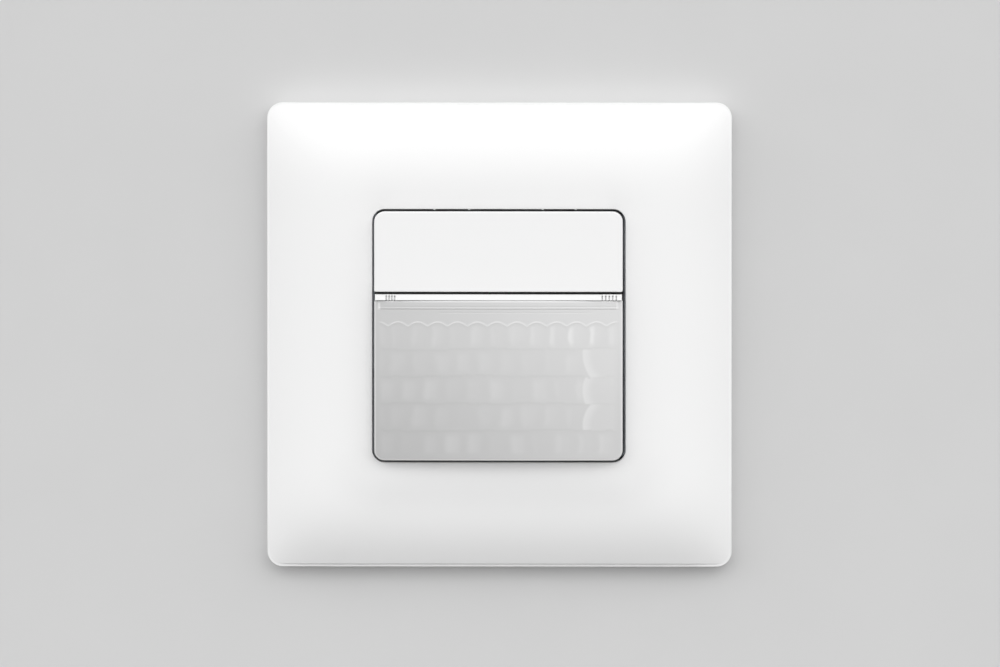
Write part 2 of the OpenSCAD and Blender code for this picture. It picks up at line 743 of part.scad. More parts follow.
module header_pins() color(brass) on_wall() for (i = [0:pin_count - 1])
    block(header_at[0] + (i - (pin_count - 1) / 2) * pin_pitch, header_at[1], power_front + strip_h, flange_front,
        pin_w, pin_w);

// Power board and what hangs behind it
module power_board() color(board_green) on_wall() difference() {
    slab(2 * tub_a[0] - insert_gap, 2 * tub_a[1] - insert_gap, tub_r, power_back, power_front);
    for (p = boss_at) post(p[0], p[1], power_back - over, power_front + over, board_screw_r + fit_gap);
}

module relay_case() color("gainsboro") on_wall() difference() {
    block(relay_at[0], relay_at[1], power_back - relay_size[2], power_back, relay_size[0], relay_size[1]);
    block(relay_at[0], relay_at[1], power_back - relay_size[2] + relay_t, power_back + over,
        relay_size[0] - 2 * relay_t, relay_size[1] - 2 * relay_t);
}

// The winding stands on the yoke, and the armature rocks on the yoke's free end
armature_end = 2;
armature_l = coil_r + armature_end;
armature_room = 0.5;
winding_y = relay_at[1] - relay_size[1] / 2 + relay_t + armature_room + armature_l;
winding_end = power_back - iron_t - coil_l;
core_end = winding_end - iron_t;
armature_face = core_end - iron_gap;
yoke_gap = 1.4;
yoke_y = winding_y + coil_r + yoke_gap + iron_t / 2;

module relay_coil() color(copper) on_wall() {
    post(relay_at[0], winding_y, winding_end, power_back - iron_t, coil_r);
    post(relay_at[0], winding_y, core_end, winding_end, core_r);
}

module relay_yoke() color(steel) on_wall() {
    iron_w = 7;
    block(relay_at[0], (winding_y + yoke_y) / 2, power_back - iron_t, power_back, iron_w, yoke_y - winding_y + iron_t);
    block(relay_at[0], yoke_y, armature_face + 2 * fit_gap, power_back, iron_w, iron_t);
}

module relay_armature() color(steel) on_wall() {
    iron_w = 7;
    block(relay_at[0], (yoke_y + winding_y - armature_l) / 2, armature_face - iron_t, armature_face,
        iron_w, yoke_y - winding_y + armature_l);
    rod_x(relay_at[0] - iron_w / 2, relay_at[0] + iron_w / 2, yoke_y, armature_face - iron_t / 2, iron_t / 2);
}

module film_capacitor() color("goldenrod") on_wall()
    block(film_at[0], film_at[1], power_back - film_size[2], power_back, film_size[0], film_size[1]);

module can_capacitor() color("midnightblue") on_wall() difference() {
    crimp = 0.4;
    x = tub_a[0] - can_cap_at[0];
    post(x, can_cap_at[1], power_back - can_cap_l, power_back, can_cap_r);
    translate([x, can_cap_at[1], power_back - 2 * crimp]) rotate_extrude()
        translate([can_cap_r, 0]) circle(crimp);
}

module choke() color(copper) on_wall() {
    cheek = 1.2;
    waist = 0.6;
    post(choke_at[0], choke_at[1], power_back - choke_l, power_back, choke_r - waist);
    post(choke_at[0], choke_at[1], power_back - cheek, power_back, choke_r);
    post(choke_at[0], choke_at[1], power_back - choke_l, power_back - choke_l + cheek, choke_r);
}

module varistor() color("steelblue") on_wall() {
    x = tub_a[0] - varistor_at[0];
    rod_x(x - varistor_t / 2, x + varistor_t / 2, varistor_at[1], power_back - varistor_r, varistor_r);
}

module fuse() color("whitesmoke") on_wall() {
    cap = 2;
    cap_wall = 0.15;
    rod_x(fuse_at[0] - fuse_l / 2, fuse_at[0] + fuse_l / 2, fuse_at[1], power_back - fuse_r, fuse_r - cap_wall);
    for (sx = [-1, 1])
        rod_x(fuse_at[0] + sx * (fuse_l - cap) / 2 - cap / 2, fuse_at[0] + sx * (fuse_l - cap) / 2 + cap / 2,
            fuse_at[1], power_back - fuse_r, fuse_r);
}

module rectifier() color(black_part) on_wall() {
    y = max(rectifier_at[1], leg_y + leg_t / 2 + leg_gap + rectifier_size[1] / 2);
    block(rectifier_at[0], y, power_back - rectifier_size[2], power_back, rectifier_size[0], rectifier_size[1]);
}

// Rear housing
module rear_housing() color(grey_plastic) on_wall() {
    divider_rise = 0.8;
    divider_top = clamp_front + divider_rise;
    divider_end = clamp_y + clamp_l + 2 * divider_rise;
    wire_w = clamp_w - 2 * clamp_t - 2 * fit_gap;
    wire_h = wire_room;
    difference() {
        union() {
            slab(housing_w, housing_h, housing_r, -housing_depth, flange_front);
            slab(flange_w, flange_h, housing_t, frame_t, flange_front);
        }
        slab(2 * tub_a[0], 2 * tub_a[1], tub_r, floor_in, flange_front + over);
        for (i = [0:3]) {
            block(term_x(i), -housing_h / 2, contact_front, contact_front + wire_h, wire_w, 2 * housing_t + 2 * over);
            post(term_x(i), clamp_y + clamp_l / 2, -housing_depth - over, floor_in + over, term_head_r + well_gap);
        }
        for (sx = [-1, 1], sy = [-1, 1]) {
            post(sx * flange_screw_x, sy * flange_screw_y, frame_t - over, flange_front + over,
                flange_screw_r + fit_gap);
            block(sx * peg_x, sy * (insert_a + board_w / 2) / 2, board_front - peg_depth - fit_gap, flange_front + over,
                peg_w + 2 * fit_gap, insert_a - board_w / 2 + 2 * fit_gap);
        }
    }
    for (i = [1:3])
        block((term_x(i) + term_x(i - 1)) / 2, (divider_end - tub_a[1]) / 2, floor_in, divider_top,
            divider_t, divider_end + tub_a[1]);
    for (p = boss_at) difference() {
        post(p[0], p[1], floor_in, power_back, boss_r);
        post(p[0], p[1], power_back - board_screw_l - fit_gap, power_back + over, board_screw_r + fit_gap);
    }
}

module housing_screws() color(steel) on_wall() for (sx = [-1, 1], sy = [-1, 1])
    pan_screw(sx * flange_screw_x, sy * flange_screw_y, flange_front, fit_gap, flange_screw_r, flange_head_r, head_h);

module board_screws() color(steel) on_wall() for (p = boss_at)
    pan_screw(p[0], p[1], power_front, power_back - board_screw_l, board_screw_r, 2 * board_screw_r, head_h);

// Support frame with slots for the box screws and ears for the claws
module support_frame() color(steel) on_wall() {
    ear_w = 2.4;
    ear_l = claw_pivot_in + claw_boss_r;
    difference() {
        slab(frame_w, frame_w, frame_r, 0, frame_t);
        slab(housing_w + 2 * tub_gap, housing_h + 2 * tub_gap, housing_r + tub_gap, -over, frame_t + over);
        for (a = [0:90:270]) rotate([0, 0, a]) {
            block(box_spacing / 2, 0, -over, frame_t + over, slot_l - slot_w, slot_w);
            for (e = [-1, 1])
                post(box_spacing / 2 + e * (slot_l - slot_w) / 2, 0, -over, frame_t + over, slot_w / 2);
            post(corner_hole_at, corner_hole_at, -over, frame_t + over, corner_hole_r);
        }
        for (sx = [-1, 1], sy = [-1, 1])
            post(sx * flange_screw_x, sy * flange_screw_y, -over, frame_t + over, flange_screw_r + fit_gap);
        for (sx = [-1, 1]) post(sx * claw_screw_x, claw_y, -over, frame_t + over, claw_screw_r + 2 * run_gap);
    }
    for (sx = [-1, 1], sy = [-1, 1]) difference() {
        y = claw_y + sy * (ear_in + cheek_t / 2);
        block(sx * claw_pivot_x, y, -ear_l, frame_t / 2, ear_w, cheek_t);
        rod_y(y - cheek_t, y + cheek_t, sx * claw_pivot_x, -claw_pivot_in, claw_pin_r + fit_gap / 2);
    }
}

// Terminals
module terminal_contacts() color(brass) on_wall() for (i = [0:3]) {
    block(term_x(i), (clamp_y - bar_reach / 2 + leg_y + leg_t / 2) / 2, contact_back, contact_front,
        contact_w, leg_y + leg_t / 2 - clamp_y + bar_reach / 2);
    block(term_x(i), leg_y, contact_back, power_back, leg_w, leg_t);
}

module terminal_clamp(i) color(steel) on_wall() difference() {
    y = clamp_y + clamp_l / 2;
    block(term_x(i), y, clamp_rear, clamp_front, clamp_w, clamp_l);
    block(term_x(i), y, clamp_rear + clamp_nut_t, clamp_front - clamp_t, clamp_w - 2 * clamp_t, clamp_l + over);
    post(term_x(i), y, clamp_rear - over, clamp_rear + clamp_nut_t + over, term_screw_r + run_gap);
}

module terminal_screw(i) color(steel) on_wall() difference() {
    y = clamp_y + clamp_l / 2;
    head = 1.6;
    head_sunk = 0.2;
    head_back = -housing_depth + head_sunk;
    union() {
        post(term_x(i), y, head_back, head_back + head, term_head_r);
        post(term_x(i), y, head_back + head, contact_back - fit_gap, term_screw_r);
    }
    block(term_x(i), y, head_back - over, head_back + head / 2, 2 * term_head_r + over, slot_cut);
}

module terminal_clamp_1() terminal_clamp(0);
module terminal_clamp_2() terminal_clamp(1);
module terminal_clamp_3() terminal_clamp(2);
module terminal_clamp_4() terminal_clamp(3);
module terminal_screw_1() terminal_screw(0);
module terminal_screw_2() terminal_screw(1);
module terminal_screw_3() terminal_screw(2);
module terminal_screw_4() terminal_screw(3);

// Claws, drawn for the right side and mirrored for the left
module mirrored(side) mirror([side < 0 ? 1 : 0, 0, 0]) children();

module claw(side) color(steel) on_wall() mirrored(side) difference() {
    tail_t = 1.6;
    tooth = 1.3;
    web_t = 1.4;
    lug_in = claw_screw_r + 0.25;
    nose_z = -claw_pivot_in - nose_drop;
    end_z = -claw_pivot_in - claw_l;
    union() {
        for (sy = [-1, 1]) {
            y = claw_y + sy * (cheek_gap + cheek_t) / 2;
            inner = claw_y + sy * (cheek_gap / 2 - (cheek_gap / 2 - lug_in) / 2);
            lug_half = (cheek_gap / 2 - lug_in) / 2;
            block(claw_pivot_x, y, end_z, -claw_pivot_in, claw_arm, cheek_t);
            rod_y(y - cheek_t / 2, y + cheek_t / 2, claw_pivot_x, -claw_pivot_in, claw_boss_r);
            block(claw_pivot_x + claw_lever / 2, y, nose_z - nose_r, nose_z - nose_r + tail_t, claw_lever, cheek_t);
            rod_y(y - cheek_t / 2, y + cheek_t / 2, claw_screw_x, nose_z, nose_r);
            rod_y(inner - lug_half, inner + lug_half, claw_screw_x, nose_z, nose_r);
        }
        block(claw_pivot_x, claw_y, end_z, end_z + web_t, claw_arm, cheek_gap + 2 * cheek_t);
        for (k = [-1:1])
            translate([0, claw_y + k * (cheek_gap + 2 * cheek_t) / 3 + cheek_t, 0]) rotate([90, 0, 0])
                linear_extrude(2 * cheek_t) polygon([[claw_pivot_x + claw_arm / 2 - fit_gap, end_z],
                    [claw_pivot_x + claw_arm / 2 + tooth, end_z + web_t / 4],
                    [claw_pivot_x + claw_arm / 2 - fit_gap, end_z + web_t]]);
    }
    rod_y(claw_y - pin_half - over, claw_y + pin_half + over, claw_pivot_x, -claw_pivot_in, claw_pin_r + run_gap);
}

module claw_nut(side) color(brass) on_wall() mirrored(side) difference() {
    block(claw_screw_x, claw_y, nut_back, nut_front, claw_nut_w, cheek_gap - 2 * ear_gap);
    post(claw_screw_x, claw_y, nut_back - over, nut_front + over, claw_screw_r + run_gap);
}

module claw_screw(side) color(steel) on_wall() mirrored(side) {
    spare = 1.2;
    pan_screw(claw_screw_x, claw_y, frame_t, nut_back - spare, claw_screw_r, claw_head_r, head_h);
}

module claw_left() claw(-1);
module claw_right() claw(1);
module claw_nut_left() claw_nut(-1);
module claw_nut_right() claw_nut(1);
module claw_screw_left() claw_screw(-1);
module claw_screw_right() claw_screw(1);

module claw_pivot_pins() color(steel) on_wall() for (sx = [-1, 1])
    rod_y(claw_y - pin_half, claw_y + pin_half, sx * claw_pivot_x, -claw_pivot_in, claw_pin_r);

surround_plate();
push_key();
key_pivot_pin();
key_springs();
insert_carrier();
light_bar();
lens_cover();
sensor_board();
sensor_can();
sensor_window();
sensor_leads();
light_sensor();
indicator_lamp();
controller_chip();
tact_switch();
tact_plunger();
trimmer_bases();
time_dial();
lux_dial();
header_strip();
header_pins();
power_board();
relay_case();
relay_coil();
relay_yoke();
relay_armature();
film_capacitor();
can_capacitor();
choke();
varistor();
fuse();
rectifier();
rear_housing();
housing_screws();
board_screws();
support_frame();
terminal_contacts();
terminal_clamp_1();
terminal_clamp_2();
terminal_clamp_3();
terminal_clamp_4();
terminal_screw_1();
terminal_screw_2();
terminal_screw_3();
terminal_screw_4();
claw_left();
claw_right();
claw_nut_left();
claw_nut_right();
claw_screw_left();
claw_screw_right();
claw_pivot_pins();
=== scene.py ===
# %% [markdown]
# # A motion sensor light switch, dressed for the picture
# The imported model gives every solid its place, so this lesson never moves one. It gives each
# solid a finish, and remakes the pieces whose soft edges, ribs and cells the eye would miss.
# One step follows another: frame, drawing tools, finishes, pieces, room, sizes.

# %% Frame
import json
import math
import bmesh
import bpy
from mathutils import Matrix, Vector


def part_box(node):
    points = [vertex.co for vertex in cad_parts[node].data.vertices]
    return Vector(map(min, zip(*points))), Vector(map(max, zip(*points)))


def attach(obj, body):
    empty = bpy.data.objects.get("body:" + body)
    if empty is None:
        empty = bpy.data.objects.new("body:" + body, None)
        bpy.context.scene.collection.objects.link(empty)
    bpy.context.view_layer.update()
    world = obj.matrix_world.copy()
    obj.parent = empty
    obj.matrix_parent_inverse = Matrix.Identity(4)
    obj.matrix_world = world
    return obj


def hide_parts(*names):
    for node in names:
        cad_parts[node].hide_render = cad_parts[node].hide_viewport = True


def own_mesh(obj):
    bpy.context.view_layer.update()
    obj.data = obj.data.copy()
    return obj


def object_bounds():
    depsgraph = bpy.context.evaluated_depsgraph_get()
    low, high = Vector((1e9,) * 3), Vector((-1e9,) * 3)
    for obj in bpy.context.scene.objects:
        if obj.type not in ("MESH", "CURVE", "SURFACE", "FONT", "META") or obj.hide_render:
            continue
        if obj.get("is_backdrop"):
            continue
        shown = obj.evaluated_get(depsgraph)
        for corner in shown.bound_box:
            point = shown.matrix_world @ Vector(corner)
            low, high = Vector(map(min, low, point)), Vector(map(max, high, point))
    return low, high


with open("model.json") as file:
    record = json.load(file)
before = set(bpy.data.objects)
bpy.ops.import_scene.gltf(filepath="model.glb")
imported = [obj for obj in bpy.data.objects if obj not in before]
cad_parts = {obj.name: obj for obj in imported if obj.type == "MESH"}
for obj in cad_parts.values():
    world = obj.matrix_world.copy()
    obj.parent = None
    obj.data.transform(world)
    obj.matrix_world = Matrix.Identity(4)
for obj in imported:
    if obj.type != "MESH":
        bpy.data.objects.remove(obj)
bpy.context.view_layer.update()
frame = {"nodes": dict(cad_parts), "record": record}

scene = bpy.context.scene
slot_of = {row["node"]: row["material_slot"] for row in frame["record"]["subparts"]}
body_of = {n: b for b, group in frame["record"]["behaviour"]["bodies"].items() for n in group}

# %% [markdown]
# ## Drawing tools
# A wall switch is drawn from the front: x to the right, y up and z out of the wall, in mm.
# The shared frame is in metres with +Y into the wall, so one function turns a drawn point into it.
# A second function turns an sRGB hex value into the linear colour that shaders work in.
# A third adds one node to any tree, with its settings and its links or plain values. A link is given as
# a socket, or as a node where its first output is meant. The kinds and settings that come up most often
# have short names.

# %% Points, colours and nodes
MM = 0.001
MATH = "ShaderNodeMath"
VECTOR_MATH = "ShaderNodeVectorMath"
RANGE = "ShaderNodeMapRange"
NOISE = "ShaderNodeTexNoise"
MIX = "ShaderNodeMix"
COLOURS = {"data_type": "RGBA"}
SMOOTH = {"interpolation_type": "SMOOTHSTEP"}
PLUS = {"operation": "ADD"}
MINUS = {"operation": "SUBTRACT"}
TIMES = {"operation": "MULTIPLY"}
TIMES_PLUS = {"operation": "MULTIPLY_ADD"}
OVER = {"operation": "DIVIDE"}


def at(x, y, z):
    return Vector((x, -z, y)) * MM


def linear(code):
    parts = [int(code[i:i + 2], 16) / 255 for i in (1, 3, 5)]
    return [p / 12.92 if p <= 0.04045 else ((p + 0.055) / 1.055) ** 2.4 for p in parts] + [1.0]


def add(tree, kind, settings=None, links=None):
    node = tree.nodes.new(kind)
    for name, value in (settings or {}).items():
        setattr(node, name, value)
    for name, value in (links or {}).items():
        if isinstance(value, bpy.types.Node):
            value = value.outputs[0]
        if isinstance(value, bpy.types.NodeSocket):
            tree.links.new(value, node.inputs[name])
        else:
            node.inputs[name].default_value = value
    return node


print("the drawing's point 1, 2, 3 lands at", tuple(at(1, 2, 3)))

# %% [markdown]
# ## One recipe for moulded, plated and coated surfaces
# Most parts of a switch differ in colour, gloss and grain, but share how these vary.
# A broad cloud makes the colour drift a little, as a moulding's or a plating's does.
# A fine cloud gives the grain, as a bump and as small changes of gloss.
# All sizes are in mm on the part, so the pattern keeps its scale on every piece.
# Every finish starts from a bare shader with Object coordinates, and ends in the same links.

# %% Finish recipe


def bare(name):
    material = bpy.data.materials.new(name)
    material.use_nodes = True
    tree = material.node_tree
    return material, tree, add(tree, "ShaderNodeTexCoord").outputs["Object"]


def complete(tree, colour, gloss, bump, sockets):
    shader = tree.nodes["Principled BSDF"]
    tree.links.new(colour.outputs[2], shader.inputs["Base Color"])
    tree.links.new(gloss.outputs[0], shader.inputs["Roughness"])
    if bump:
        tree.links.new(bump.outputs[0], shader.inputs["Normal"])
    for label, value in sockets.items():
        shader.inputs[label].default_value = value


def finish(name, pale, deep, rough, drift_mm, grain_mm, grain_deep_mm, sockets):
    material, tree, place = bare(name)
    drift = add(tree, NOISE, None, {"Vector": place, "Scale": 1 / (drift_mm * MM), "Detail": 3.0})
    colour = add(tree, MIX, COLOURS, {0: drift, 6: linear(deep), 7: linear(pale)})
    grain = add(tree, NOISE, None, {"Vector": place, "Scale": 1 / (grain_mm * MM), "Detail": 2.0})
    gloss = add(tree, RANGE, None, {"Value": grain, "To Min": rough[0], "To Max": rough[1]})
    bump = add(tree, "ShaderNodeBump", None,
               {"Height": grain, "Distance": grain_deep_mm * MM, "Strength": 1.0})
    complete(tree, colour, gloss, bump, sockets)
    return material


print("the recipe is ready")

# %% [markdown]
# ## The finishes
# White polycarbonate comes from a finely eroded mould: even, a little glossy, with a grain that is
# really 0.03 mm wide and is drawn four times as coarse so that it can show at all.
# The bar is opal acrylic, the carrier dark polycarbonate, and the tub a polyamide filled with glass,
# whose fibres leave a mottled, duller skin. Steel is zinc plated, so it has cloudy patches.

# %% Plastics and metals
METAL = {"Metallic": 1.0}
POLYCARBONATE = {"IOR": 1.58}
# in each row: name, two colours, least and most roughness, width of drift and of grain, depth of grain
# in mm, and the shader's other sockets
finishes = {
    # moulded white: bright, soft gloss, hardly any drift
    "white_plastic": finish("white_polycarbonate_fine_mould_grain", "#F4F4F4", "#F1F1F1",
                            (0.30, 0.40), 30, 0.12, 0.0006, POLYCARBONATE | {"Specular IOR Level": 0.4}),
    # light guide: polished, a touch greyer than the plate
    "light_guide": finish("opal_acrylic_polished", "#EEEEEE", "#EAEAEA",
                          (0.16, 0.24), 12, 0.4, 0.0004, {"IOR": 1.49}),
    # dark and dull, so that nothing shines behind the seams
    "dark_plastic": finish("dark_polycarbonate_moulded", "#2E3032", "#26282A",
                           (0.42, 0.55), 10, 0.15, 0.002, POLYCARBONATE),
    # glass fibres reach the skin as pale flecks
    "grey_plastic": finish("glass_filled_polyamide_moulded", "#969A9D", "#858A8D",
                           (0.45, 0.62), 1.6, 0.22, 0.006, {"IOR": 1.53}),
    # zinc crystals give cloudy patches of about 2 mm
    "steel": finish("zinc_plated_pressed_steel", "#C9CDD2", "#A9AFB6",
                    (0.26, 0.40), 2.2, 0.18, 0.002, METAL),
    # turned brass: warm, with fine tool marks
    "brass": finish("turned_brass", "#D8B765", "#B99243", (0.24, 0.36), 1.5, 0.15, 0.002, METAL),
    # epoxy bodies: matt from the mould, or a soft gloss from powder
    "black_part": finish("black_epoxy_transfer_moulded", "#2A2B2D", "#1E1F21",
                         (0.45, 0.6), 2, 0.12, 0.003, {}),
    "blue_part": finish("blue_epoxy_powder_coated", "#3F6FB0", "#315C99",
                        (0.30, 0.42), 2, 0.2, 0.003, {}),
    # a moulded box, a little glossy
    "yellow_part": finish("yellow_polyester_box_moulded", "#D9A93B", "#C8962C",
                          (0.34, 0.46), 3, 0.15, 0.002, {}),
    # glaze: off-white and shiny
    "ceramic_white": finish("steatite_ceramic_glazed", "#F1EEE6", "#E6E2D8",
                            (0.12, 0.22), 3, 0.3, 0.001, {}),
    # the relay's lid is clear, with faint flow marks
    "clear_case": finish("clear_polycarbonate_relay_lid", "#F2F5F7", "#E6ECF0",
                         (0.05, 0.12), 6, 0.5, 0.002, POLYCARBONATE | {"Transmission Weight": 0.85}),
}
print("finishes:", ", ".join(m.name for m in finishes.values()))

# %% [markdown]
# ## Copper winding and circuit board
# Two finishes have a pattern with a direction. Enamelled wire lies in turns 0.25 mm apart across the
# coil, and a wave texture draws them; on the wire the wave also paints the gaps between turns darker,
# as painted shade. The board's green lacquer lies on a glass weave whose threads are 0.6 mm apart,
# and two crossed waves raise it a little.

# %% Winding and board
WIRE_MM = 0.25
WEAVE_MM = 0.6
STRIPE_DEEP_MM = 0.02
# a wave texture at scale 1 has this many bands in a metre
BANDS = 20 / (2 * math.pi)


def striped(name, pale, deep, rough, sockets, stripes):
    material, tree, place = bare(name)
    height = None
    for direction, pitch in stripes:
        wave = add(tree, "ShaderNodeTexWave", {"bands_direction": direction, "wave_profile": "SIN"},
                   {"Vector": place, "Scale": 1 / (BANDS * pitch * MM), "Distortion": 0.4, "Detail": 1.0})
        if height is None:
            height = wave.outputs["Fac"]
        else:
            height = add(tree, MATH, TIMES, {0: height, 1: wave.outputs["Fac"]})
    # the colour follows the wave; on the wire the darker gaps between turns are painted shade
    colour = add(tree, MIX, COLOURS, {0: height, 6: linear(deep), 7: linear(pale)})
    gloss = add(tree, RANGE, None, {"Value": height, "To Min": rough[1], "To Max": rough[0]})
    bump = add(tree, "ShaderNodeBump", None,
               {"Height": height, "Distance": STRIPE_DEEP_MM * MM, "Strength": 0.6})
    complete(tree, colour, gloss, bump, sockets)
    return material


# wound wire: bright turns with painted shade in the gaps
finishes["copper"] = striped("enamelled_copper_wire_wound", "#C8803F", "#7E4520", (0.22, 0.4),
                             METAL, [("Z", WIRE_MM)])
# lacquer: green and glossy, with the weave just showing
finishes["board"] = striped("fibreglass_board_green_lacquer", "#2F7A4B", "#28673F", (0.25, 0.4),
                            {}, [("X", WEAVE_MM), ("Z", WEAVE_MM)])
print("winding and board:", finishes["copper"].name, finishes["board"].name)

# %% [markdown]
# ## The milky lens finish
# The lens is pressed from milky polyethylene, thin enough to let heat rays through. It looks grey
# because light goes in and is lost in the dark space behind it. Its grey is painted darker low on the
# left and lighter high on the right, read from Object coordinates: painted shade and light for how light
# falls across it. The bright flanks of the cells, the scalloped line and the edges are painted highlights;
# the piece carries their share as an attribute.

# %% Lens finish
LENS_DEEP = "#B7B7B7"
LENS_PALE = "#DADADA"
# the grey of the painted highlights on the cells, the scalloped line and the edges
LENS_HIGHLIGHT_GREY = "#F2F2F2"
CLOUD_MM = 9
CLOUD_SHARE = 0.06

lens_finish, tree, place = bare("milky_polyethylene_pressed")
axes = add(tree, "ShaderNodeSeparateXYZ", None, {"Vector": place})
# each row: axis, where the painted shade starts and ends in mm, and its share of the pale grey there
painted_shade_ramps = []
for axis, start, end, least, most in (("X", -28, 26, 0.05, 0.6), ("Z", -25, 9, 0.0, 0.42)):
    painted_shade_ramps.append(add(tree, RANGE, SMOOTH, {"Value": axes.outputs[axis], "From Min": start * MM,
                                            "From Max": end * MM, "To Min": least, "To Max": most}))
share = add(tree, MATH, PLUS, {0: painted_shade_ramps[0], 1: painted_shade_ramps[1]})
cloud = add(tree, NOISE, None, {"Vector": place, "Scale": 1 / (CLOUD_MM * MM), "Detail": 2.0})
patches = add(tree, RANGE, None, {"Value": cloud, "To Min": -CLOUD_SHARE, "To Max": CLOUD_SHARE})
shade = add(tree, MATH, PLUS, {0: share, 1: patches})
ground = add(tree, MIX, COLOURS, {0: shade, 6: linear(LENS_DEEP), 7: linear(LENS_PALE)})
# painted highlight: the attribute mixes the bright grey over the painted shade
painted_highlight = add(tree, "ShaderNodeAttribute", {"attribute_name": "painted_highlight"})
lit = add(tree, MIX, COLOURS, {0: painted_highlight.outputs["Fac"], 6: ground.outputs[2], 7: linear(LENS_HIGHLIGHT_GREY)})
gloss = add(tree, RANGE, None, {"Value": cloud, "To Min": 0.30, "To Max": 0.38})
complete(tree, lit, gloss, None, {"IOR": 1.52, "Specular IOR Level": 0.35})
finishes["milky_lens"] = lens_finish
print("lens finish:", lens_finish.name)

# %% [markdown]
# ## Finishes on the solids
# Every solid that keeps its own shape shows the finish of its slot in the record.
# The pieces made further down take theirs from the same table.

# %% Solids take their finish
# the lamp behind the bar is out, and its smoked case looks dark through the seam
own_finish = {"indicator_lamp": finish("smoked_epoxy_cast", "#3B3D40", "#303235", (0.10, 0.18),
                                       2, 0.3, 0.001, {"IOR": 1.5})}
for node, slot in slot_of.items():
    solid = frame["nodes"][node]
    solid.data.materials.clear()
    solid.data.materials.append(own_finish.get(node, finishes[slot]))
print("dressed", len(slot_of), "solids in", len(finishes) + len(own_finish), "finishes")

# %% [markdown]
# ## Mesh tools
# A moulding is easiest to think of as rings: closed outlines of equal count that climb its walls,
# turn over its edges and run across its face. Quads between the rings make the skin.
# Small blocks and turned parts join the same mesh, so that a piece stays one object.
# A finished piece gets outward normals, smooth fillets and crisp corners, then rides on its body.

# %% Rings, blocks and turned parts


def outline(left, right, low, high, radii, side, corner):
    # anticlockwise from the foot of the right side, with side and corner as counts of steps
    # radii are for the lower right, upper right, upper left and lower left
    points = []
    ends = ((right, low, 1, -1), (right, high, 1, 1), (left, high, -1, 1), (left, low, -1, -1))
    for k, (x, y, sx, sy) in enumerate(ends):
        r = radii[k]
        for j in range(corner + 1):
            turn = math.radians(90 * (k - 1) + 90 * j / corner)
            points.append((x - sx * r + r * math.cos(turn), y - sy * r + r * math.sin(turn)))
        nx, ny, nsx, nsy = ends[(k + 1) % 4]
        nr = radii[(k + 1) % 4]
        turn = math.radians(90 * k)
        start = points[-1]
        goal = (nx - nsx * nr + nr * math.cos(turn), ny - nsy * nr + nr * math.sin(turn))
        for i in range(1, side):
            t = i / side
            points.append((start[0] + (goal[0] - start[0]) * t, start[1] + (goal[1] - start[1]) * t))
    return points


def level(ring, z):
    return [(x, y, z) for x, y in ring]


def rounded(radius, steps):
    # how far in and how far down each point of a quarter round lies
    turns = [math.radians(90 * k / steps) for k in range(steps + 1)]
    return [(radius * (1 - math.cos(turn)), radius * (1 - math.sin(turn))) for turn in turns]


def quads(bm, rows):
    for a, b in zip(rows, rows[1:]):
        for j in range(len(a)):
            n = (j + 1) % len(a)
            bm.faces.new((a[j], a[n], b[n], b[j]))


def skin(bm, rings, loop=False):
    # closed into a tube's loop, or capped at both ends
    rows = [[bm.verts.new(p) for p in ring] for ring in rings]
    if loop:
        quads(bm, rows + rows[:1])
    else:
        quads(bm, rows)
        bm.faces.new(rows[0])
        bm.faces.new(rows[-1])


def block(bm, low, high, bevel):
    made = bmesh.ops.create_cube(bm, size=1.0)["verts"]
    for v in made:
        v.co = Vector(low[i] if v.co[i] < 0 else high[i] for i in range(3))
    edges = list({e for v in made for e in v.link_edges})
    bmesh.ops.bevel(bm, geom=edges, offset=bevel, segments=2, profile=0.5, affect="EDGES",
                    clamp_overlap=True)


def turned(bm, profile, centre, sides):
    # profile rows are radius and height; the axis points out of the wall
    turns = [2 * math.pi * j / sides for j in range(sides)]
    x, y = centre
    skin(bm, [[(x + r * math.cos(t), y + r * math.sin(t), z) for t in turns] for r, z in profile])


CRISP = 34


def mesh_of(name, bm, crisp=CRISP):
    bmesh.ops.recalc_face_normals(bm, faces=bm.faces)
    for v in bm.verts:
        v.co = at(*v.co)
    bm.normal_update()
    mesh = bpy.data.meshes.new(name)
    bm.to_mesh(mesh)
    bm.free()
    soften(mesh, crisp)
    return mesh


def soften(mesh, crisp):
    mesh.shade_smooth()
    mesh.set_sharp_from_angle(angle=math.radians(crisp))


def in_scene(name, data):
    made = bpy.data.objects.new(name, data)
    scene.collection.objects.link(made)
    return made


def dress(name, mesh, body, slot, *nodes):
    mesh.materials.clear()
    mesh.materials.append(finishes[slot])
    piece = in_scene(name, mesh)
    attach(piece, body)
    if nodes:
        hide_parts(*nodes)
    print(name, "has", len(mesh.vertices), "points and rides on", body)
    return piece


print("a square ring of short sides has", len(outline(0, 1, 0, 1, [0.1] * 4, side=2, corner=2)), "points")

# %% [markdown]
# ## Surround plate
# The plate is a pillow: flat round its opening, then rolling down to a thin edge. Its height follows
# one rule, a power of the distance from the opening, eased towards the corners so they don't sink.
# It could be a subdivided box, but then the roll would only be near the rule. Rings that read the
# rule give it exactly. At the rim the roll ends in a short step and a narrow flat land, which shows
# as a pale line along the lower edge, and the side leans in below it so that the plate casts a shadow.

# %% Plate rule
PLATE = 41.5
PLATE_R = 2.7
OPENING = 22.6
OPENING_R = 2.2
RING = PLATE - OPENING
EDGE_H = 4.2
CROWN_H = 4.5
WALL = 1.8
ROLL_POWER = 3.2
CORNER_EASE = 0.38
EASE_POWER = 6
CORNER_LOSS = 1.0
SLEEVE_Z = 5.4


def roll(u, v):
    share = max(0.0, (abs(u) - OPENING) / RING)
    return share ** ROLL_POWER * (1 - CORNER_EASE * (v / PLATE) ** EASE_POWER)


def face_z(x, y):
    return EDGE_H + CROWN_H * (1 - roll(x, y) - roll(y, x))


def square_ring(half, radius):
    return outline(-half, half, -half, half, [radius] * 4, side=30, corner=8)


def plate_ring(inset):
    return square_ring(PLATE - inset, PLATE_R - min(inset, CORNER_LOSS))


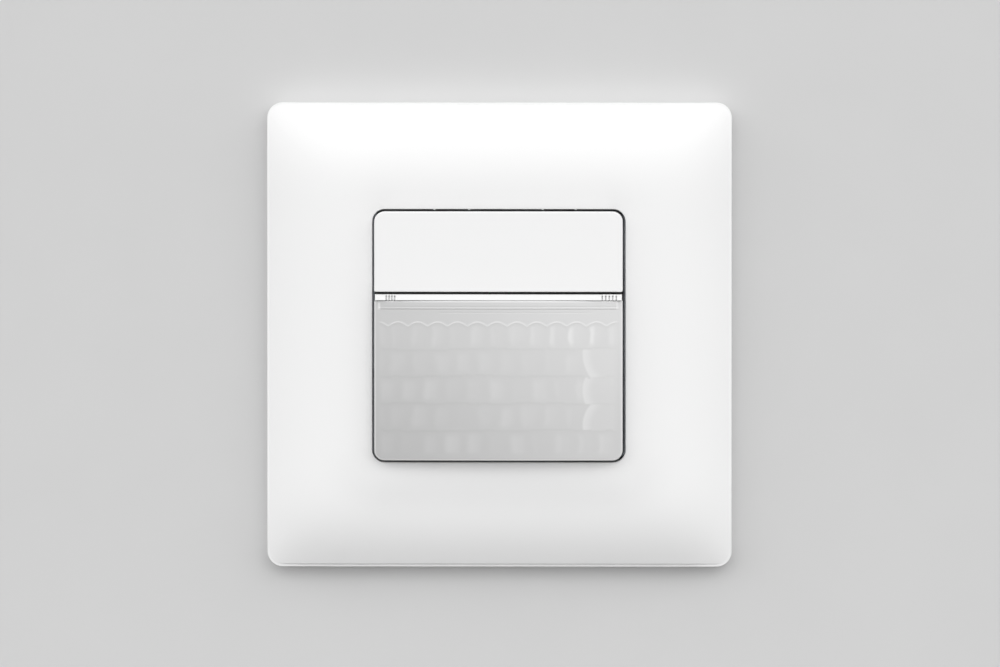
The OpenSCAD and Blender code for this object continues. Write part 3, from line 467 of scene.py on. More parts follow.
print("plate: crown", face_z(OPENING, 0), "edge", face_z(PLATE, 0), "corner", round(face_z(PLATE, PLATE), 2))

# %% Plate rings
LIP_R = 0.2
LIP_STEPS = 6
FACE_STEPS = 26
# steps grow shorter towards the rim, where the roll is steep
STEP_POWER = 1.6
BACK_STEPS = 9
RIM_IN = 0.58
LAND_IN = 0.36
RIM_DROP = 0.5
# the step starts this far above the lower edge, and grows to its full drop over this length
RIM_START = 3.5
RIM_GROWS = 2.5
# towards the corners it fades over this length, and ends this far before the plate's side
RIM_FADE = 5.0
RIM_ENDS = 2.0
SIDE_LEAN = 0.45
# inset from the edge and share of the step
RIM_STEP = ((RIM_IN, 0.0), (RIM_IN - 0.03, 0.06), (LAND_IN + 0.03, 0.92))
# inset from the edge and depth below the land
EDGE_TURN = ((0.08, 0.0), (0.03, 0.015), (0.0, 0.06), (0.0, 0.12))
# inset from the edge and height over the wall
FOOT_TURN = ((SIDE_LEAN, 0.3), (SIDE_LEAN + 0.1, 0.0), (WALL - 0.1, 0.0), (WALL, 0.1))


def rim_drop(x, y):
    # the step is there along the lower edge and fades out before the corners
    low = min(1.0, max(0.0, (-y - PLATE + RIM_START) / RIM_GROWS))
    inside = min(1.0, max(0.0, (PLATE - RIM_ENDS - abs(x)) / RIM_FADE))
    return RIM_DROP * low * inside


def face_ring(ring, sunk):
    return [(x, y, face_z(x, y) - sunk) for x, y in ring]


rings = [level(square_ring(OPENING, OPENING_R), SLEEVE_Z)]
for out, sunk in rounded(LIP_R, LIP_STEPS):
    rings.append(face_ring(square_ring(OPENING + out, OPENING_R + out), sunk))
for k in range(1, FACE_STEPS):
    t = 1 - (1 - k / FACE_STEPS) ** STEP_POWER
    half = OPENING + LIP_R + (RING - LIP_R - RIM_IN) * t
    radius = OPENING_R + LIP_R + (PLATE_R - RIM_IN - OPENING_R - LIP_R) * t
    rings.append(face_ring(square_ring(half, radius), 0.0))
for inset, share in RIM_STEP:
    rings.append([(x, y, face_z(x, y) - share * rim_drop(x, y)) for x, y in plate_ring(inset)])
land = [(x, y, face_z(x, y) - rim_drop(x, y)) for x, y in plate_ring(LAND_IN)]
rings.append(land)
for inset, sunk in EDGE_TURN:
    rings.append([(x, y, p[2] - sunk) for (x, y), p in zip(plate_ring(inset), land)])
for inset, z in FOOT_TURN:
    rings.append(level(plate_ring(inset), z))
for k in range(BACK_STEPS + 1):
    t = k / BACK_STEPS
    half = PLATE - WALL + (OPENING + WALL - PLATE + WALL) * t
    rings.append(face_ring(square_ring(half, PLATE_R - CORNER_LOSS * (1 - t)), WALL))
rings.append(level(square_ring(OPENING + WALL, PLATE_R), SLEEVE_Z))
plate = bmesh.new()
skin(plate, rings, loop=True)
print("plate:", len(rings), "rings of", len(rings[0]), "points")

# %% [markdown]
# The plate clips on with four feet behind its face, and four crumbs of moulding flash sit on the top
# edge of its opening. Both are small blocks with rounded edges in the same mesh.

# %% Plate feet and crumbs
FOOT_Y = 15
FOOT_L = 8
FOOT_OUT = 36.55
FOOT_EDGE = 0.2
# inner side and height over the wall of a foot's shoulder and of its tip
FOOT_PARTS = ((33.9, 1.2), (35.55, 0.3))
CRUMBS = (-11.5, -5.3, 7.8, 13.7)
CRUMB_HALF = 0.2
CRUMB_IN = 0.16
CRUMB_Z = (7.6, 8.4)
CRUMB_EDGE = 0.06
for sx in (-1, 1):
    for sy in (-1, 1):
        low, high = sy * FOOT_Y - FOOT_L / 2, sy * FOOT_Y + FOOT_L / 2
        top = face_z(FOOT_OUT, FOOT_Y) - WALL / 2
        for inner, base in FOOT_PARTS:
            left, right = sorted((sx * inner, sx * FOOT_OUT))
            block(plate, (left, low, base), (right, high, top), FOOT_EDGE)
for x in CRUMBS:
    block(plate, (x - CRUMB_HALF, OPENING - CRUMB_IN, CRUMB_Z[0]),
          (x + CRUMB_HALF, OPENING + CRUMB_HALF, CRUMB_Z[1]), CRUMB_EDGE)
plate_mesh = mesh_of("surround_plate_moulding", plate)

# %% [markdown]
# The white plastic is painted a little darker round the opening: most of all just above the key, and in
# a faint band below the lens. This grey is painted shade, for the soft shade that the key and lens throw
# round the seam. Each point of the plate carries its share of it as an attribute, and the plate's own
# copy of the white finish mixes a grey in by it.

# %% Plate finish with painted shade
SHADE_GREY = "#A0A0A0"
# how far the painted shade reaches from the opening, and its share of grey beside and above it
SHADE_REACH = 2.6
SHADE_SIDE = 0.05
SHADE_TOP = 0.34
# the painted shade band's share of grey, its distance below the opening and its spread
SHADE_BAND = 0.14
BAND_AT = 5.5
BAND_REACH = 3.6


# painted shade: the share of grey each point of the plate gets, darkest beside the opening
def painted_shade(x, y):
    # all three are counted from the centres of the opening's round corners
    beside, above, below = (max(0.0, d - OPENING + OPENING_R) for d in (abs(x), y, -y))
    reach = beside + above + below
    if reach == 0:
        return 0.0
    apart = max(0.0, math.hypot(beside, above, below) - OPENING_R)
    near = math.exp(-apart / SHADE_REACH)
    band = math.exp(-((apart - BAND_AT) / BAND_REACH) ** 2)
    return (near * (SHADE_SIDE * beside + SHADE_TOP * above) + band * SHADE_BAND * below) / reach


painted_shade_layer = plate_mesh.attributes.new("painted_shade", "FLOAT", "POINT")
for i, v in enumerate(plate_mesh.vertices):
    painted_shade_layer.data[i].value = painted_shade(v.co.x / MM, v.co.z / MM)
plate_finish = finishes["white_plastic"].copy()
plate_finish.name = "white_polycarbonate_with_painted_shade"
tree = plate_finish.node_tree
base = tree.nodes["Principled BSDF"].inputs["Base Color"]
# the plate's white takes the grey of the painted shade by this attribute
share = add(tree, "ShaderNodeAttribute", {"attribute_name": "painted_shade"})
shade_mix = add(tree, MIX, COLOURS,
             {0: share.outputs["Fac"], 6: base.links[0].from_socket, 7: linear(SHADE_GREY)})
tree.links.new(shade_mix.outputs[2], base)
piece = dress("surround_plate_moulding", plate_mesh, "plate", "white_plastic", "surround_plate")
piece.data.materials[0] = plate_finish

# %% [markdown]
# ## Push key
# The key is a thin white cap with the insert's round corners at its top and nearly square ones below.
# Its edges are only just broken, which draws a fine bright line round it. Two lugs hang on the pivot
# pin and a round tip reaches the switch below. Rings make the cap; the rest is added to its mesh.

# %% Key cap
INSERT_LEFT = -22.2
INSERT_RIGHT = 22.1
INSERT_TOP = 22.2
INSERT_R = 1.8
KEY_LOW = 7.9
KEY_FRONT = 11.0
KEY_BACK = 6.2
KEY_WALL = 1.4
KEY_LOW_R = 0.25
KEY_LEAST_R = 0.05
KEY_EDGE = 0.2
KEY_EDGE_STEPS = 5
KEY_FLAT = 0.35
KEY_FOOT = 0.1


def key_ring(inset, z):
    low_r = max(KEY_LOW_R - inset, KEY_LEAST_R)
    top_r = INSERT_R - inset
    return level(outline(INSERT_LEFT + inset, INSERT_RIGHT - inset, KEY_LOW + inset, INSERT_TOP - inset,
                         (low_r, top_r, top_r, low_r), side=16, corner=6), z)


rings = [key_ring(KEY_WALL, KEY_FRONT - KEY_WALL), key_ring(KEY_WALL, KEY_BACK + KEY_FOOT),
         key_ring(KEY_WALL - KEY_FOOT, KEY_BACK), key_ring(KEY_FOOT, KEY_BACK),
         key_ring(0.0, KEY_BACK + KEY_FOOT)]
rings += [key_ring(inset, KEY_FRONT - sunk) for inset, sunk in rounded(KEY_EDGE, KEY_EDGE_STEPS)]
rings.append(key_ring(KEY_FLAT, KEY_FRONT))
key = bmesh.new()
skin(key, rings)
print("key cap:", len(rings), "rings")

# %% Key lugs and tip
LUG_X = 17
LUG_HALF = 1
PIVOT = (19.0, 7.6)
PIVOT_HOLE = 0.85
LUG_R = 1.7
LUG_TOP = 10.3
LUG_SIDES = 48
TIP_Y = 12.8
TIP_R = 1.2
TIP_Z = 9.05
# the tip's quarter round, in degrees from its point
TIP_TURNS = range(4, 94, 9)
TINY = 0.001
for sx in (-1, 1):
    outer, inner = [], []
    for j in range(LUG_SIDES):
        turn = 2 * math.pi * j / LUG_SIDES
        dy, dz = math.cos(turn), math.sin(turn)
        inner.append((PIVOT[0] + PIVOT_HOLE * dy, PIVOT[1] + PIVOT_HOLE * dz))
        reach = LUG_R
        if dz > 0:
            reach = min(LUG_R / max(abs(dy), TINY), (LUG_TOP - PIVOT[1]) / dz)
        outer.append((PIVOT[0] + reach * dy, PIVOT[1] + reach * dz))
    x0, x1 = sx * LUG_X - LUG_HALF, sx * LUG_X + LUG_HALF
    skin(key, [[(x0, *p) for p in inner], [(x0, *p) for p in outer],
               [(x1, *p) for p in outer], [(x1, *p) for p in inner]], loop=True)
turns = [math.radians(d) for d in TIP_TURNS]
tip = [(TIP_R * math.sin(t), TIP_Z + TIP_R * (1 - math.cos(t))) for t in turns]
turned(key, tip + [(TIP_R, LUG_TOP)], (0, TIP_Y), sides=32)
dress("push_key_cap", mesh_of("push_key_cap", key), "key", "white_plastic", "push_key")

# %% [markdown]
# ## Growing meshes with Geometry Nodes
# What repeats or follows a path is grown by a node tree with named sizes. A tree is put on a mesh as
# a modifier, its inputs are set by their identifiers, and the evaluated result becomes a plain mesh.
# The modifier goes away with its carrier, so only the grown mesh is left for the piece.
# Every tree ends the same way: its instances are made real, and it takes its finish.

# %% Tree and grower


def new_tree(name, sizes):
    tree = bpy.data.node_groups.new(name, "GeometryNodeTree")
    tree.interface.new_socket("Geometry", in_out="INPUT", socket_type="NodeSocketGeometry")
    tree.interface.new_socket("Geometry", in_out="OUTPUT", socket_type="NodeSocketGeometry")
    for label, kind in sizes.items():
        tree.interface.new_socket(label, in_out="INPUT", socket_type=kind)
    return tree, add(tree, "NodeGroupInput").outputs


def end_tree(tree, sizes, made):
    real = add(tree, "GeometryNodeRealizeInstances", None, {"Geometry": made})
    painted = add(tree, "GeometryNodeSetMaterial", None, {"Geometry": real, "Material": sizes["Finish"]})
    add(tree, "NodeGroupOutput", None, {"Geometry": painted})


def grown(tree, values, mesh=None):
    carrier = in_scene("carrier", mesh or bpy.data.meshes.new("carrier"))
    modifier = carrier.modifiers.new("grow", "NODES")
    modifier.node_group = tree
    for item in tree.interface.items_tree:
        if item.in_out == "INPUT" and item.name in values:
            modifier[item.identifier] = values[item.name]
    graph = bpy.context.evaluated_depsgraph_get()
    result = bpy.data.meshes.new_from_object(carrier.evaluated_get(graph), preserve_all_data_layers=True,
                                             depsgraph=graph)
    carrier.modifiers.remove(modifier)
    bpy.data.objects.remove(carrier)
    return result


LENGTH = "NodeSocketFloat"
COUNT = "NodeSocketInt"
FINISH = "NodeSocketMaterial"
print("trees take lengths, counts and finishes")

# %% [markdown]
# ## Light bar
# A thin opal bar lies between the key and the lens and leans a little towards the lens. Near its ends
# it is combed: narrow grooves run down its front, four at the left and five at the right, and the
# teeth between them reach a little into the seam under the key. The bar is a skin of sections along
# its length with one recess for each comb, and a node tree sets the teeth into the recesses.

# %% Bar
BAR_LEFT = -22.05
BAR_RIGHT = 21.98
BAR_TOP = 7.45
BAR_LOW = 6.4
BAR_BACK = 7.1
BAR_FRONT_TOP = 11.0
BAR_FRONT_LOW = 11.7
BAR_LEAN = (BAR_FRONT_LOW - BAR_FRONT_TOP) / (BAR_TOP - BAR_LOW)
BAR_EASE = 0.07
RIDGE = 0.17
GROOVE = 0.26
GROOVE_DEEP = 0.55
GROOVE_SIDE = 0.03
RIDGE_SIDE = 0.02
BAR_END = 0.08
BAR_CRISP = 25
STEM_HALF = 1.6
STEM_Z = (6.1, BAR_BACK + 0.2)
STEM_EDGE = 0.1
# place of the first groove, spacing and count
COMBS = ((-20.03, 0.5, 4), (18.49, 0.625, 5))


def bar_front(y):
    return BAR_FRONT_TOP + BAR_LEAN * (BAR_TOP - y)


def bar_section(x, sunk):
    top, ridge, low = BAR_TOP - BAR_EASE, BAR_TOP - RIDGE, BAR_LOW + BAR_EASE
    return [(x, BAR_TOP, BAR_BACK), (x, BAR_TOP, bar_front(BAR_TOP) - BAR_EASE), (x, top, bar_front(top)),
            (x, ridge, bar_front(ridge)), (x, ridge - RIDGE_SIDE, bar_front(ridge) - sunk),
            (x, low, bar_front(low) - sunk), (x, BAR_LOW, bar_front(low) - BAR_EASE - sunk),
            (x, BAR_LOW, BAR_BACK)]


stations = [(BAR_LEFT, BAR_END), (BAR_LEFT + BAR_END, 0.0)]
for first, pitch, count in COMBS:
    near, far = first - GROOVE / 2, first + pitch * (count - 1) + GROOVE / 2
    stations += [(near, 0.0), (near + GROOVE_SIDE, GROOVE_DEEP)]
    stations += [(far - GROOVE_SIDE, GROOVE_DEEP), (far, 0.0)]
stations += [(BAR_RIGHT - BAR_END, 0.0), (BAR_RIGHT, BAR_END)]
bar = bmesh.new()
skin(bar, [bar_section(x, sunk) for x, sunk in stations])
block(bar, (-STEM_HALF, BAR_LOW, STEM_Z[0]), (STEM_HALF, BAR_TOP, STEM_Z[1]), STEM_EDGE)
bar_mesh = mesh_of("light_bar_guide", bar, BAR_CRISP)
dress("light_bar_guide", bar_mesh, "mechanism", "light_guide", "light_bar")

# %% Comb teeth
TOOTH_H = 1.15
TOOTH_RISE = 0.07
TOOTH_DEEP = 1.4
TOOTH_ROUND = 0.05
TOOTH_PROUD = 0.02
tree, sizes = new_tree("comb", {"Count": COUNT, "Pitch": LENGTH, "Width": LENGTH, "Height": LENGTH,
                                "Depth": LENGTH, "Round": LENGTH, "Finish": FINISH})
profile = add(tree, "GeometryNodeCurvePrimitiveQuadrilateral", None,
              {"Width": sizes["Width"], "Height": sizes["Height"]})
eased = add(tree, "GeometryNodeFilletCurve", {"mode": "POLY"},
            {"Curve": profile, "Count": 3, "Radius": sizes["Round"]})
reach = add(tree, "ShaderNodeCombineXYZ", None, {"Y": sizes["Depth"]})
spine = add(tree, "GeometryNodeCurvePrimitiveLine", None, {"End": reach})
tooth = add(tree, "GeometryNodeCurveToMesh", None,
            {"Curve": spine, "Profile Curve": eased, "Fill Caps": True})
step = add(tree, "ShaderNodeCombineXYZ", None, {"X": sizes["Pitch"]})
places = add(tree, "GeometryNodeMeshLine", None, {"Count": sizes["Count"], "Offset": step})
teeth = add(tree, "GeometryNodeInstanceOnPoints", None, {"Points": places, "Instance": tooth})
end_tree(tree, sizes, teeth)
lean = Matrix.Rotation(-math.atan(BAR_LEAN), 4, "X")
middle_y = (BAR_TOP + BAR_LOW) / 2 + TOOTH_RISE
comb = bmesh.new()
for first, pitch, count in COMBS:
    row = grown(tree, {"Count": count - 1, "Pitch": pitch * MM, "Width": (pitch - GROOVE) * MM,
                       "Height": TOOTH_H * MM, "Depth": TOOTH_DEEP * MM, "Round": TOOTH_ROUND * MM,
                       "Finish": finishes["light_guide"]})
    start = at(first + pitch / 2, middle_y, bar_front(middle_y) + TOOTH_PROUD)
    row.transform(Matrix.Translation(start) @ lean)
    comb.from_mesh(row)
bmesh.ops.recalc_face_normals(comb, faces=comb.faces)
comb_mesh = bpy.data.meshes.new("light_bar_combs")
comb.to_mesh(comb_mesh)
comb.free()
soften(comb_mesh, CRISP)
dress("light_bar_combs", comb_mesh, "mechanism", "light_guide")

# %% [markdown]
# ## Lens
# The lens is a shallow shell, curved across and a little down, with a ledge along its top and rows of
# cells pressed into it. Its shape follows rules, so it is made in two turns. A fine grid with the
# shell's outline, its edge fillet and its ledge comes first. A node tree then presses in the cells,
# raises the scalloped line above them, and stores how much painted highlight each point gets.

# %% Lens shell rule
LENS_TOP = 6.35
LENS_LOW = -22.2
LENS_X = (INSERT_LEFT + INSERT_RIGHT) / 2
LENS_HALF_W = (INSERT_RIGHT - INSERT_LEFT) / 2
LENS_MID = (LENS_TOP + LENS_LOW) / 2
LENS_HALF_H = (LENS_TOP - LENS_LOW) / 2
LENS_CREST = 12.2
LENS_CURVE = 260.0
LENS_DROOP = 0.3
LENS_BACK = 5.2
LENS_WALL = 1.2
LENS_EDGE = 0.22
TOP_R = 0.2
# height above the shell at each height of the ledge, from the top down
LEDGE = ((6.1, 0.07), (5.45, 0.07), (5.33, 0.04), (5.2, 0.04), (5.02, 0.09), (4.94, 0.09), (4.8, 0.0))
LEDGE_HALF = 21.3
LEDGE_EASE = 0.15
# left and right end, height, half the width and depth of a groove below the ledge
FINE_GROOVE = (-10.4, 16.4, 4.24, 0.1, 0.03)


def half_width(y):
    for corner_y, r, sign in ((LENS_LOW, INSERT_R, 1), (LENS_TOP, TOP_R, -1)):
        rise = r - sign * (y - corner_y)
        if rise > 0:
            return LENS_HALF_W - r + math.sqrt(max(0.0, r * r - rise * rise))
    return LENS_HALF_W


def edge_distance(x, y):
    dx, dy_low, dy_top = LENS_HALF_W - abs(x - LENS_X), y - LENS_LOW, LENS_TOP - y
    if dx < INSERT_R and dy_low < INSERT_R:
        return INSERT_R - math.hypot(INSERT_R - dx, INSERT_R - dy_low)
    return min(dx, dy_low, dy_top)


def ledge(x, y):
    left, right, middle, half, deep = FINE_GROOVE
    if left < x < right and abs(y - middle) < half:
        return -deep * (1 - abs(y - middle) / half)
    if abs(x - LENS_X) > LEDGE_HALF or y < LEDGE[-1][0]:
        return 0.0
    side = min(1.0, (LEDGE_HALF - abs(x - LENS_X)) / LEDGE_EASE)
    for (y1, z1), (y0, z0) in zip(LEDGE, LEDGE[1:]):
        if y >= y0:
            t = min(1.0, (y - y0) / (y1 - y0))
            return side * (z0 + (z1 - z0) * t)
    return 0.0


def lens_z(x, y):
    inset = min(LENS_EDGE, max(0.0, edge_distance(x, y)))
    drop = LENS_EDGE - math.sqrt(LENS_EDGE ** 2 - (LENS_EDGE - inset) ** 2)
    bow = x * x / (2 * LENS_CURVE) + LENS_DROOP * ((y - LENS_MID) / LENS_HALF_H) ** 2
    return LENS_CREST - bow - drop + ledge(x, y)


print("lens: crest", lens_z(0, LENS_MID), "side", round(lens_z(LEDGE_HALF, LENS_MID), 2))

# %% Lens grid and walls
EDGE_STEPS = (0.0, 0.01, 0.04, 0.09, 0.16, 0.25, 0.35, 0.45, 0.6)
GRID_IN = 0.8
GRID_PITCH = 0.2
# start, end and pitch of each band of rows, finer where the scalloped line and the ledge lie
GRID_BANDS = ((LENS_LOW + GRID_IN, 1.2, GRID_PITCH), (1.2, 3.0, 0.08), (3.0, 4.0, 0.15), (4.0, 4.7, 0.06),
              (4.7, 5.6, 0.04))
LENS_FOOT = 0.1
LENS_INSIDE = 10.0
LENS_CRISP = 40


def steps(start, stop, pitch):
    count = max(1, round(abs(stop - start) / pitch))
    return [start + (stop - start) * i / count for i in range(count)]


rows_y = [LENS_LOW + d for d in EDGE_STEPS]
for band in GRID_BANDS:
    rows_y += steps(*band)
rows_y += [LENS_TOP - d for d in reversed(EDGE_STEPS)]
sides_s = [d / LENS_HALF_W for d in EDGE_STEPS]
middle_s = steps(GRID_IN / LENS_HALF_W - 1, 1 - GRID_IN / LENS_HALF_W, GRID_PITCH / LENS_HALF_W)
cols_s = [s - 1 for s in sides_s] + middle_s + [1 - s for s in reversed(sides_s)]
lens = bmesh.new()
grid = []
for y in rows_y:
    row_x = [LENS_X + s * half_width(y) for s in cols_s]
    grid.append([lens.verts.new((x, y, lens_z(x, y))) for x in row_x])
for a, b in zip(grid, grid[1:]):
    for j in range(len(a) - 1):
        lens.faces.new((a[j], a[j + 1], b[j + 1], b[j]))
front = len(lens.verts)
rim = grid[0][:-1] + [row[-1] for row in grid[:-1]] + grid[-1][:0:-1] + [row[0] for row in grid[:0:-1]]
paths = [rim]
inner_x, inner_y = 1 - LENS_WALL / LENS_HALF_W, 1 - LENS_WALL / LENS_HALF_H
# how the rim is scaled across and up, and its height, down the wall, under it and up inside
for scale_x, scale_y, z in ((1, 1, LENS_BACK + LENS_FOOT), (0.996, 0.994, LENS_BACK),
                            (inner_x, inner_y, LENS_BACK), (inner_x, inner_y, LENS_INSIDE)):
    path = []
    for v in rim:
        x, y = LENS_X + (v.co.x - LENS_X) * scale_x, LENS_MID + (v.co.y - LENS_MID) * scale_y
        path.append(lens.verts.new((x, y, z)))
    paths.append(path)
quads(lens, paths)
lens.faces.new(paths[-1])
lens.verts.index_update()
lens_mesh = mesh_of("lens_shell", lens, LENS_CRISP)
print("lens shell:", front, "front points,", len(lens_mesh.vertices), "in all")

# %% [markdown]
# Two shares are written on the front's points before the cells come. One fades the cells out towards
# the edge of the lens. The other marks where a highlight is painted: the edge itself and the two short
# ends of the ledge.

# %% Window and painted bright edges
EDGE_GLOW_IN = 0.17
# an end of the ledge: its place from the middle, half its width, its foot and top
BRACKET = (LEDGE_HALF, 0.16, 4.75, 6.05)
WINDOW_IN = 0.7
WINDOW_FADE = 0.9
WINDOW_TOP = 4.0


def bright_edge(x, y):
    out, half, low, high = BRACKET
    if low < y < high and abs(abs(x - LENS_X) - out) < half:
        return 1.0
    return max(0.0, 1 - abs(edge_distance(x, y) - EDGE_GLOW_IN) / EDGE_GLOW_IN)


window = lens_mesh.attributes.new("window", "FLOAT", "POINT")
edges = lens_mesh.attributes.new("edges", "FLOAT", "POINT")
for i, (x, y) in enumerate([(LENS_X + s * half_width(y), y) for y in rows_y for s in cols_s]):
    if y < WINDOW_TOP:
        window.data[i].value = min(1.0, max(0.0, (edge_distance(x, y) - WINDOW_IN) / WINDOW_FADE))
    edges.data[i].value = bright_edge(x, y)
print("bright points:", sum(item.value > 0.5 for item in edges.data))

# %% [markdown]
# The cells stand in five rows under a scalloped line. Each row is pressed in a little at its top, so
# a faint shadow runs along it. No two cells look alike: each has its own share of painted highlight, and
# its left flank is painted brighter, most of all in the top row towards the right. In the middle rows
# the last cell is wide and round: a highlight is painted at its curved edge and less inside. Lengths in
# the tree are in mm, so the position is scaled up first; a fixed seed gives the same cells every time.

# %% Rows and columns of cells
# the cells' borders stray sideways and up by at most half of this, in waves of this length
WANDER = (1.5, 0.0, 0.9)
WANDER_MM = 10 / 3
CELL_SHIFT = 0.57
# whole cells are added so that no column is negative, and rows are numbered far apart
CELLS_LEFT = 10
CELLS_IN_ROW = 40.0
# share of a cell over which its glow fades at its sides, and at its top and foot
CELL_SIDE = 0.38
CELL_TOP = 0.3
WHOLE = {"operation": "FLOOR"}
FRACTION = {"operation": "FRACT"}
ABSOLUTE = {"operation": "ABSOLUTE"}
PINGPONG = {"operation": "PINGPONG"}
ATTRIBUTE = "GeometryNodeInputNamedAttribute"
tree, sizes = new_tree("lens_cells", {
    "Row Top": LENGTH, "Row Pitch": LENGTH, "Cell Width": LENGTH, "Wider": LENGTH, "Hollow": LENGTH,
    "Line Base": LENGTH, "Line Width": LENGTH, "Line Height": LENGTH, "Hump": LENGTH,
    "Round Centre": LENGTH, "Round Radius": LENGTH, "Seed": COUNT, "Finish": FINISH})
place = add(tree, "GeometryNodeInputPosition").outputs["Position"]
drawn = add(tree, VECTOR_MATH, {"operation": "SCALE"}, {0: place, "Scale": 1 / MM})
wander = add(tree, NOISE, None, {"Vector": drawn, "Scale": 1 / WANDER_MM, "Detail": 1.0})
centred = add(tree, VECTOR_MATH, MINUS, {0: wander.outputs["Color"], 1: (0.5, 0.5, 0.5)})
astray = add(tree, VECTOR_MATH, TIMES_PLUS, {0: centred, 1: WANDER, 2: drawn})
bent = add(tree, "ShaderNodeSeparateXYZ", None, {0: astray})
axes = add(tree, "ShaderNodeSeparateXYZ", None, {0: drawn})
x, y = axes.outputs["X"], axes.outputs["Z"]
mask = add(tree, ATTRIBUTE, {"data_type": "FLOAT"}, {"Name": "window"})
edge = add(tree, ATTRIBUTE, {"data_type": "FLOAT"}, {"Name": "edges"})
down = add(tree, MATH, MINUS, {0: sizes["Row Top"], 1: bent.outputs["Z"]})
lines = add(tree, MATH, OVER, {0: down, 1: sizes["Row Pitch"]})
row = add(tree, MATH, WHOLE, {0: lines})
in_row = add(tree, MATH, FRACTION, {0: lines})
lower = add(tree, MATH, {"operation": "MINIMUM"}, {0: row, 1: 1.0})
width = add(tree, MATH, TIMES_PLUS, {0: lower, 1: sizes["Wider"], 2: sizes["Cell Width"]})
turn = add(tree, MATH, OVER, {0: bent.outputs["X"], 1: width})
set_off = add(tree, MATH, TIMES_PLUS, {0: row, 1: 0.5, 2: turn})
shifted = add(tree, MATH, PLUS, {0: set_off, 1: CELLS_LEFT + CELL_SHIFT})
in_cell = add(tree, MATH, FRACTION, {0: shifted})
column = add(tree, MATH, WHOLE, {0: shifted})
number = add(tree, MATH, TIMES_PLUS, {0: row, 1: CELLS_IN_ROW, 2: column})
chance = add(tree, "FunctionNodeRandomValue", {"data_type": "FLOAT"},
             {2: 0.0, 3: 1.0, "ID": number, "Seed": sizes["Seed"]}).outputs[1]
bow_x = add(tree, MATH, PINGPONG, {0: in_cell, 1: 0.5})
bow_y = add(tree, MATH, PINGPONG, {0: in_row, 1: 0.5})
inner_x = add(tree, RANGE, SMOOTH, {"Value": bow_x, "From Max": CELL_SIDE})
inner_y = add(tree, RANGE, SMOOTH, {"Value": bow_y, "From Max": CELL_TOP})
inner = add(tree, MATH, TIMES, {0: inner_x, 1: inner_y})
print("lens cells:", len(tree.nodes), "nodes so far")

# %% Scalloped line
# the cells start this far under the line, and are full at the second distance
UNDER_LINE = (0.2, 0.7)
humps = add(tree, MATH, OVER, {0: x, 1: sizes["Cell Width"]})
swing = add(tree, MATH, TIMES_PLUS, {0: humps, 1: math.pi, 2: CELL_SHIFT * math.pi})
wave = add(tree, MATH, {"operation": "SINE"}, {0: swing})
hump = add(tree, MATH, ABSOLUTE, {0: wave})
line_y = add(tree, MATH, TIMES_PLUS, {0: hump, 1: sizes["Hump"], 2: sizes["Line Base"]})
apart = add(tree, MATH, MINUS, {0: line_y, 1: y})
away = add(tree, MATH, ABSOLUTE, {0: apart})
ridge = add(tree, RANGE, SMOOTH,
            {"Value": away, "From Max": sizes["Line Width"], "To Min": 1.0, "To Max": 0.0})
line = add(tree, MATH, TIMES, {0: ridge, 1: mask})
under = add(tree, RANGE, SMOOTH, {"Value": apart, "From Min": UNDER_LINE[0], "From Max": UNDER_LINE[1]})
held = add(tree, MATH, TIMES, {0: under, 1: mask})
print("lens cells:", len(tree.nodes), "nodes with the line")

# %% Round last cells
MIDDLE_ROW = 2.0
# rows this near the middle one end in a round cell
ROUND_ROWS = 1.2
# each row's circle lies this much further up or down than the middle one's
ROUND_STEP = 1.5
# the painted highlight grows from inside towards the round edge and ends across the brink; plain cells lie
# clear of it
ROUND_GROWS = (-1.9, -0.1)
ROUND_LEAST = 0.26
BRINK = (-0.1, 0.3)
CLEAR = (-0.3, 0.3)
from_middle = add(tree, MATH, MINUS, {0: MIDDLE_ROW, 1: row})
row_middle = add(tree, MATH, MINUS, {0: in_row, 1: 0.5})
from_centre = add(tree, MATH, TIMES, {0: row_middle, 1: sizes["Row Pitch"]})
high = add(tree, MATH, TIMES_PLUS, {0: from_middle, 1: ROUND_STEP, 2: from_centre})
wide = add(tree, MATH, MINUS, {0: x, 1: sizes["Round Centre"]})
spoke = add(tree, "ShaderNodeCombineXYZ", None, {"X": wide, "Y": high})
reach = add(tree, VECTOR_MATH, {"operation": "LENGTH"}, {0: spoke})
gap = add(tree, MATH, MINUS, {0: reach.outputs["Value"], 1: sizes["Round Radius"]})
middle_row = add(tree, MATH, {"operation": "COMPARE"}, {0: row, 1: MIDDLE_ROW, 2: ROUND_ROWS})
arc = add(tree, RANGE, SMOOTH, {"Value": gap, "From Min": ROUND_GROWS[0], "From Max": ROUND_GROWS[1],
                                "To Min": ROUND_LEAST, "To Max": 1.0})
brink = add(tree, RANGE, SMOOTH,
            {"Value": gap, "From Min": BRINK[0], "From Max": BRINK[1], "To Min": 1.0, "To Max": 0.0})
shining = add(tree, MATH, TIMES, {0: arc, 1: brink})
round_edge = add(tree, MATH, TIMES, {0: shining, 1: middle_row})
outside = add(tree, RANGE, SMOOTH, {"Value": gap, "From Min": CLEAR[0], "From Max": CLEAR[1]})
other_row = add(tree, MATH, MINUS, {0: 1.0, 1: middle_row})
plain = add(tree, MATH, {"operation": "MAXIMUM"}, {0: outside, 1: other_row})
print("lens cells:", len(tree.nodes), "nodes with the round cells")

# %% Relief
slope = add(tree, MATH, MINUS, {0: 1.0, 1: in_row})
pressed = add(tree, MATH, TIMES, {0: slope, 1: held})
hollow = add(tree, MATH, TIMES, {0: pressed, 1: sizes["Hollow"]})
raised = add(tree, MATH, TIMES, {0: line, 1: sizes["Line Height"]})
depth = add(tree, MATH, MINUS, {0: hollow, 1: raised})
metres = add(tree, MATH, TIMES, {0: depth, 1: MM})
inward = add(tree, "ShaderNodeCombineXYZ", None, {"Y": metres})
moved = add(tree, "GeometryNodeSetPosition", None, {"Geometry": sizes["Geometry"], "Offset": inward})
print("lens cells:", len(tree.nodes), "nodes with the relief")

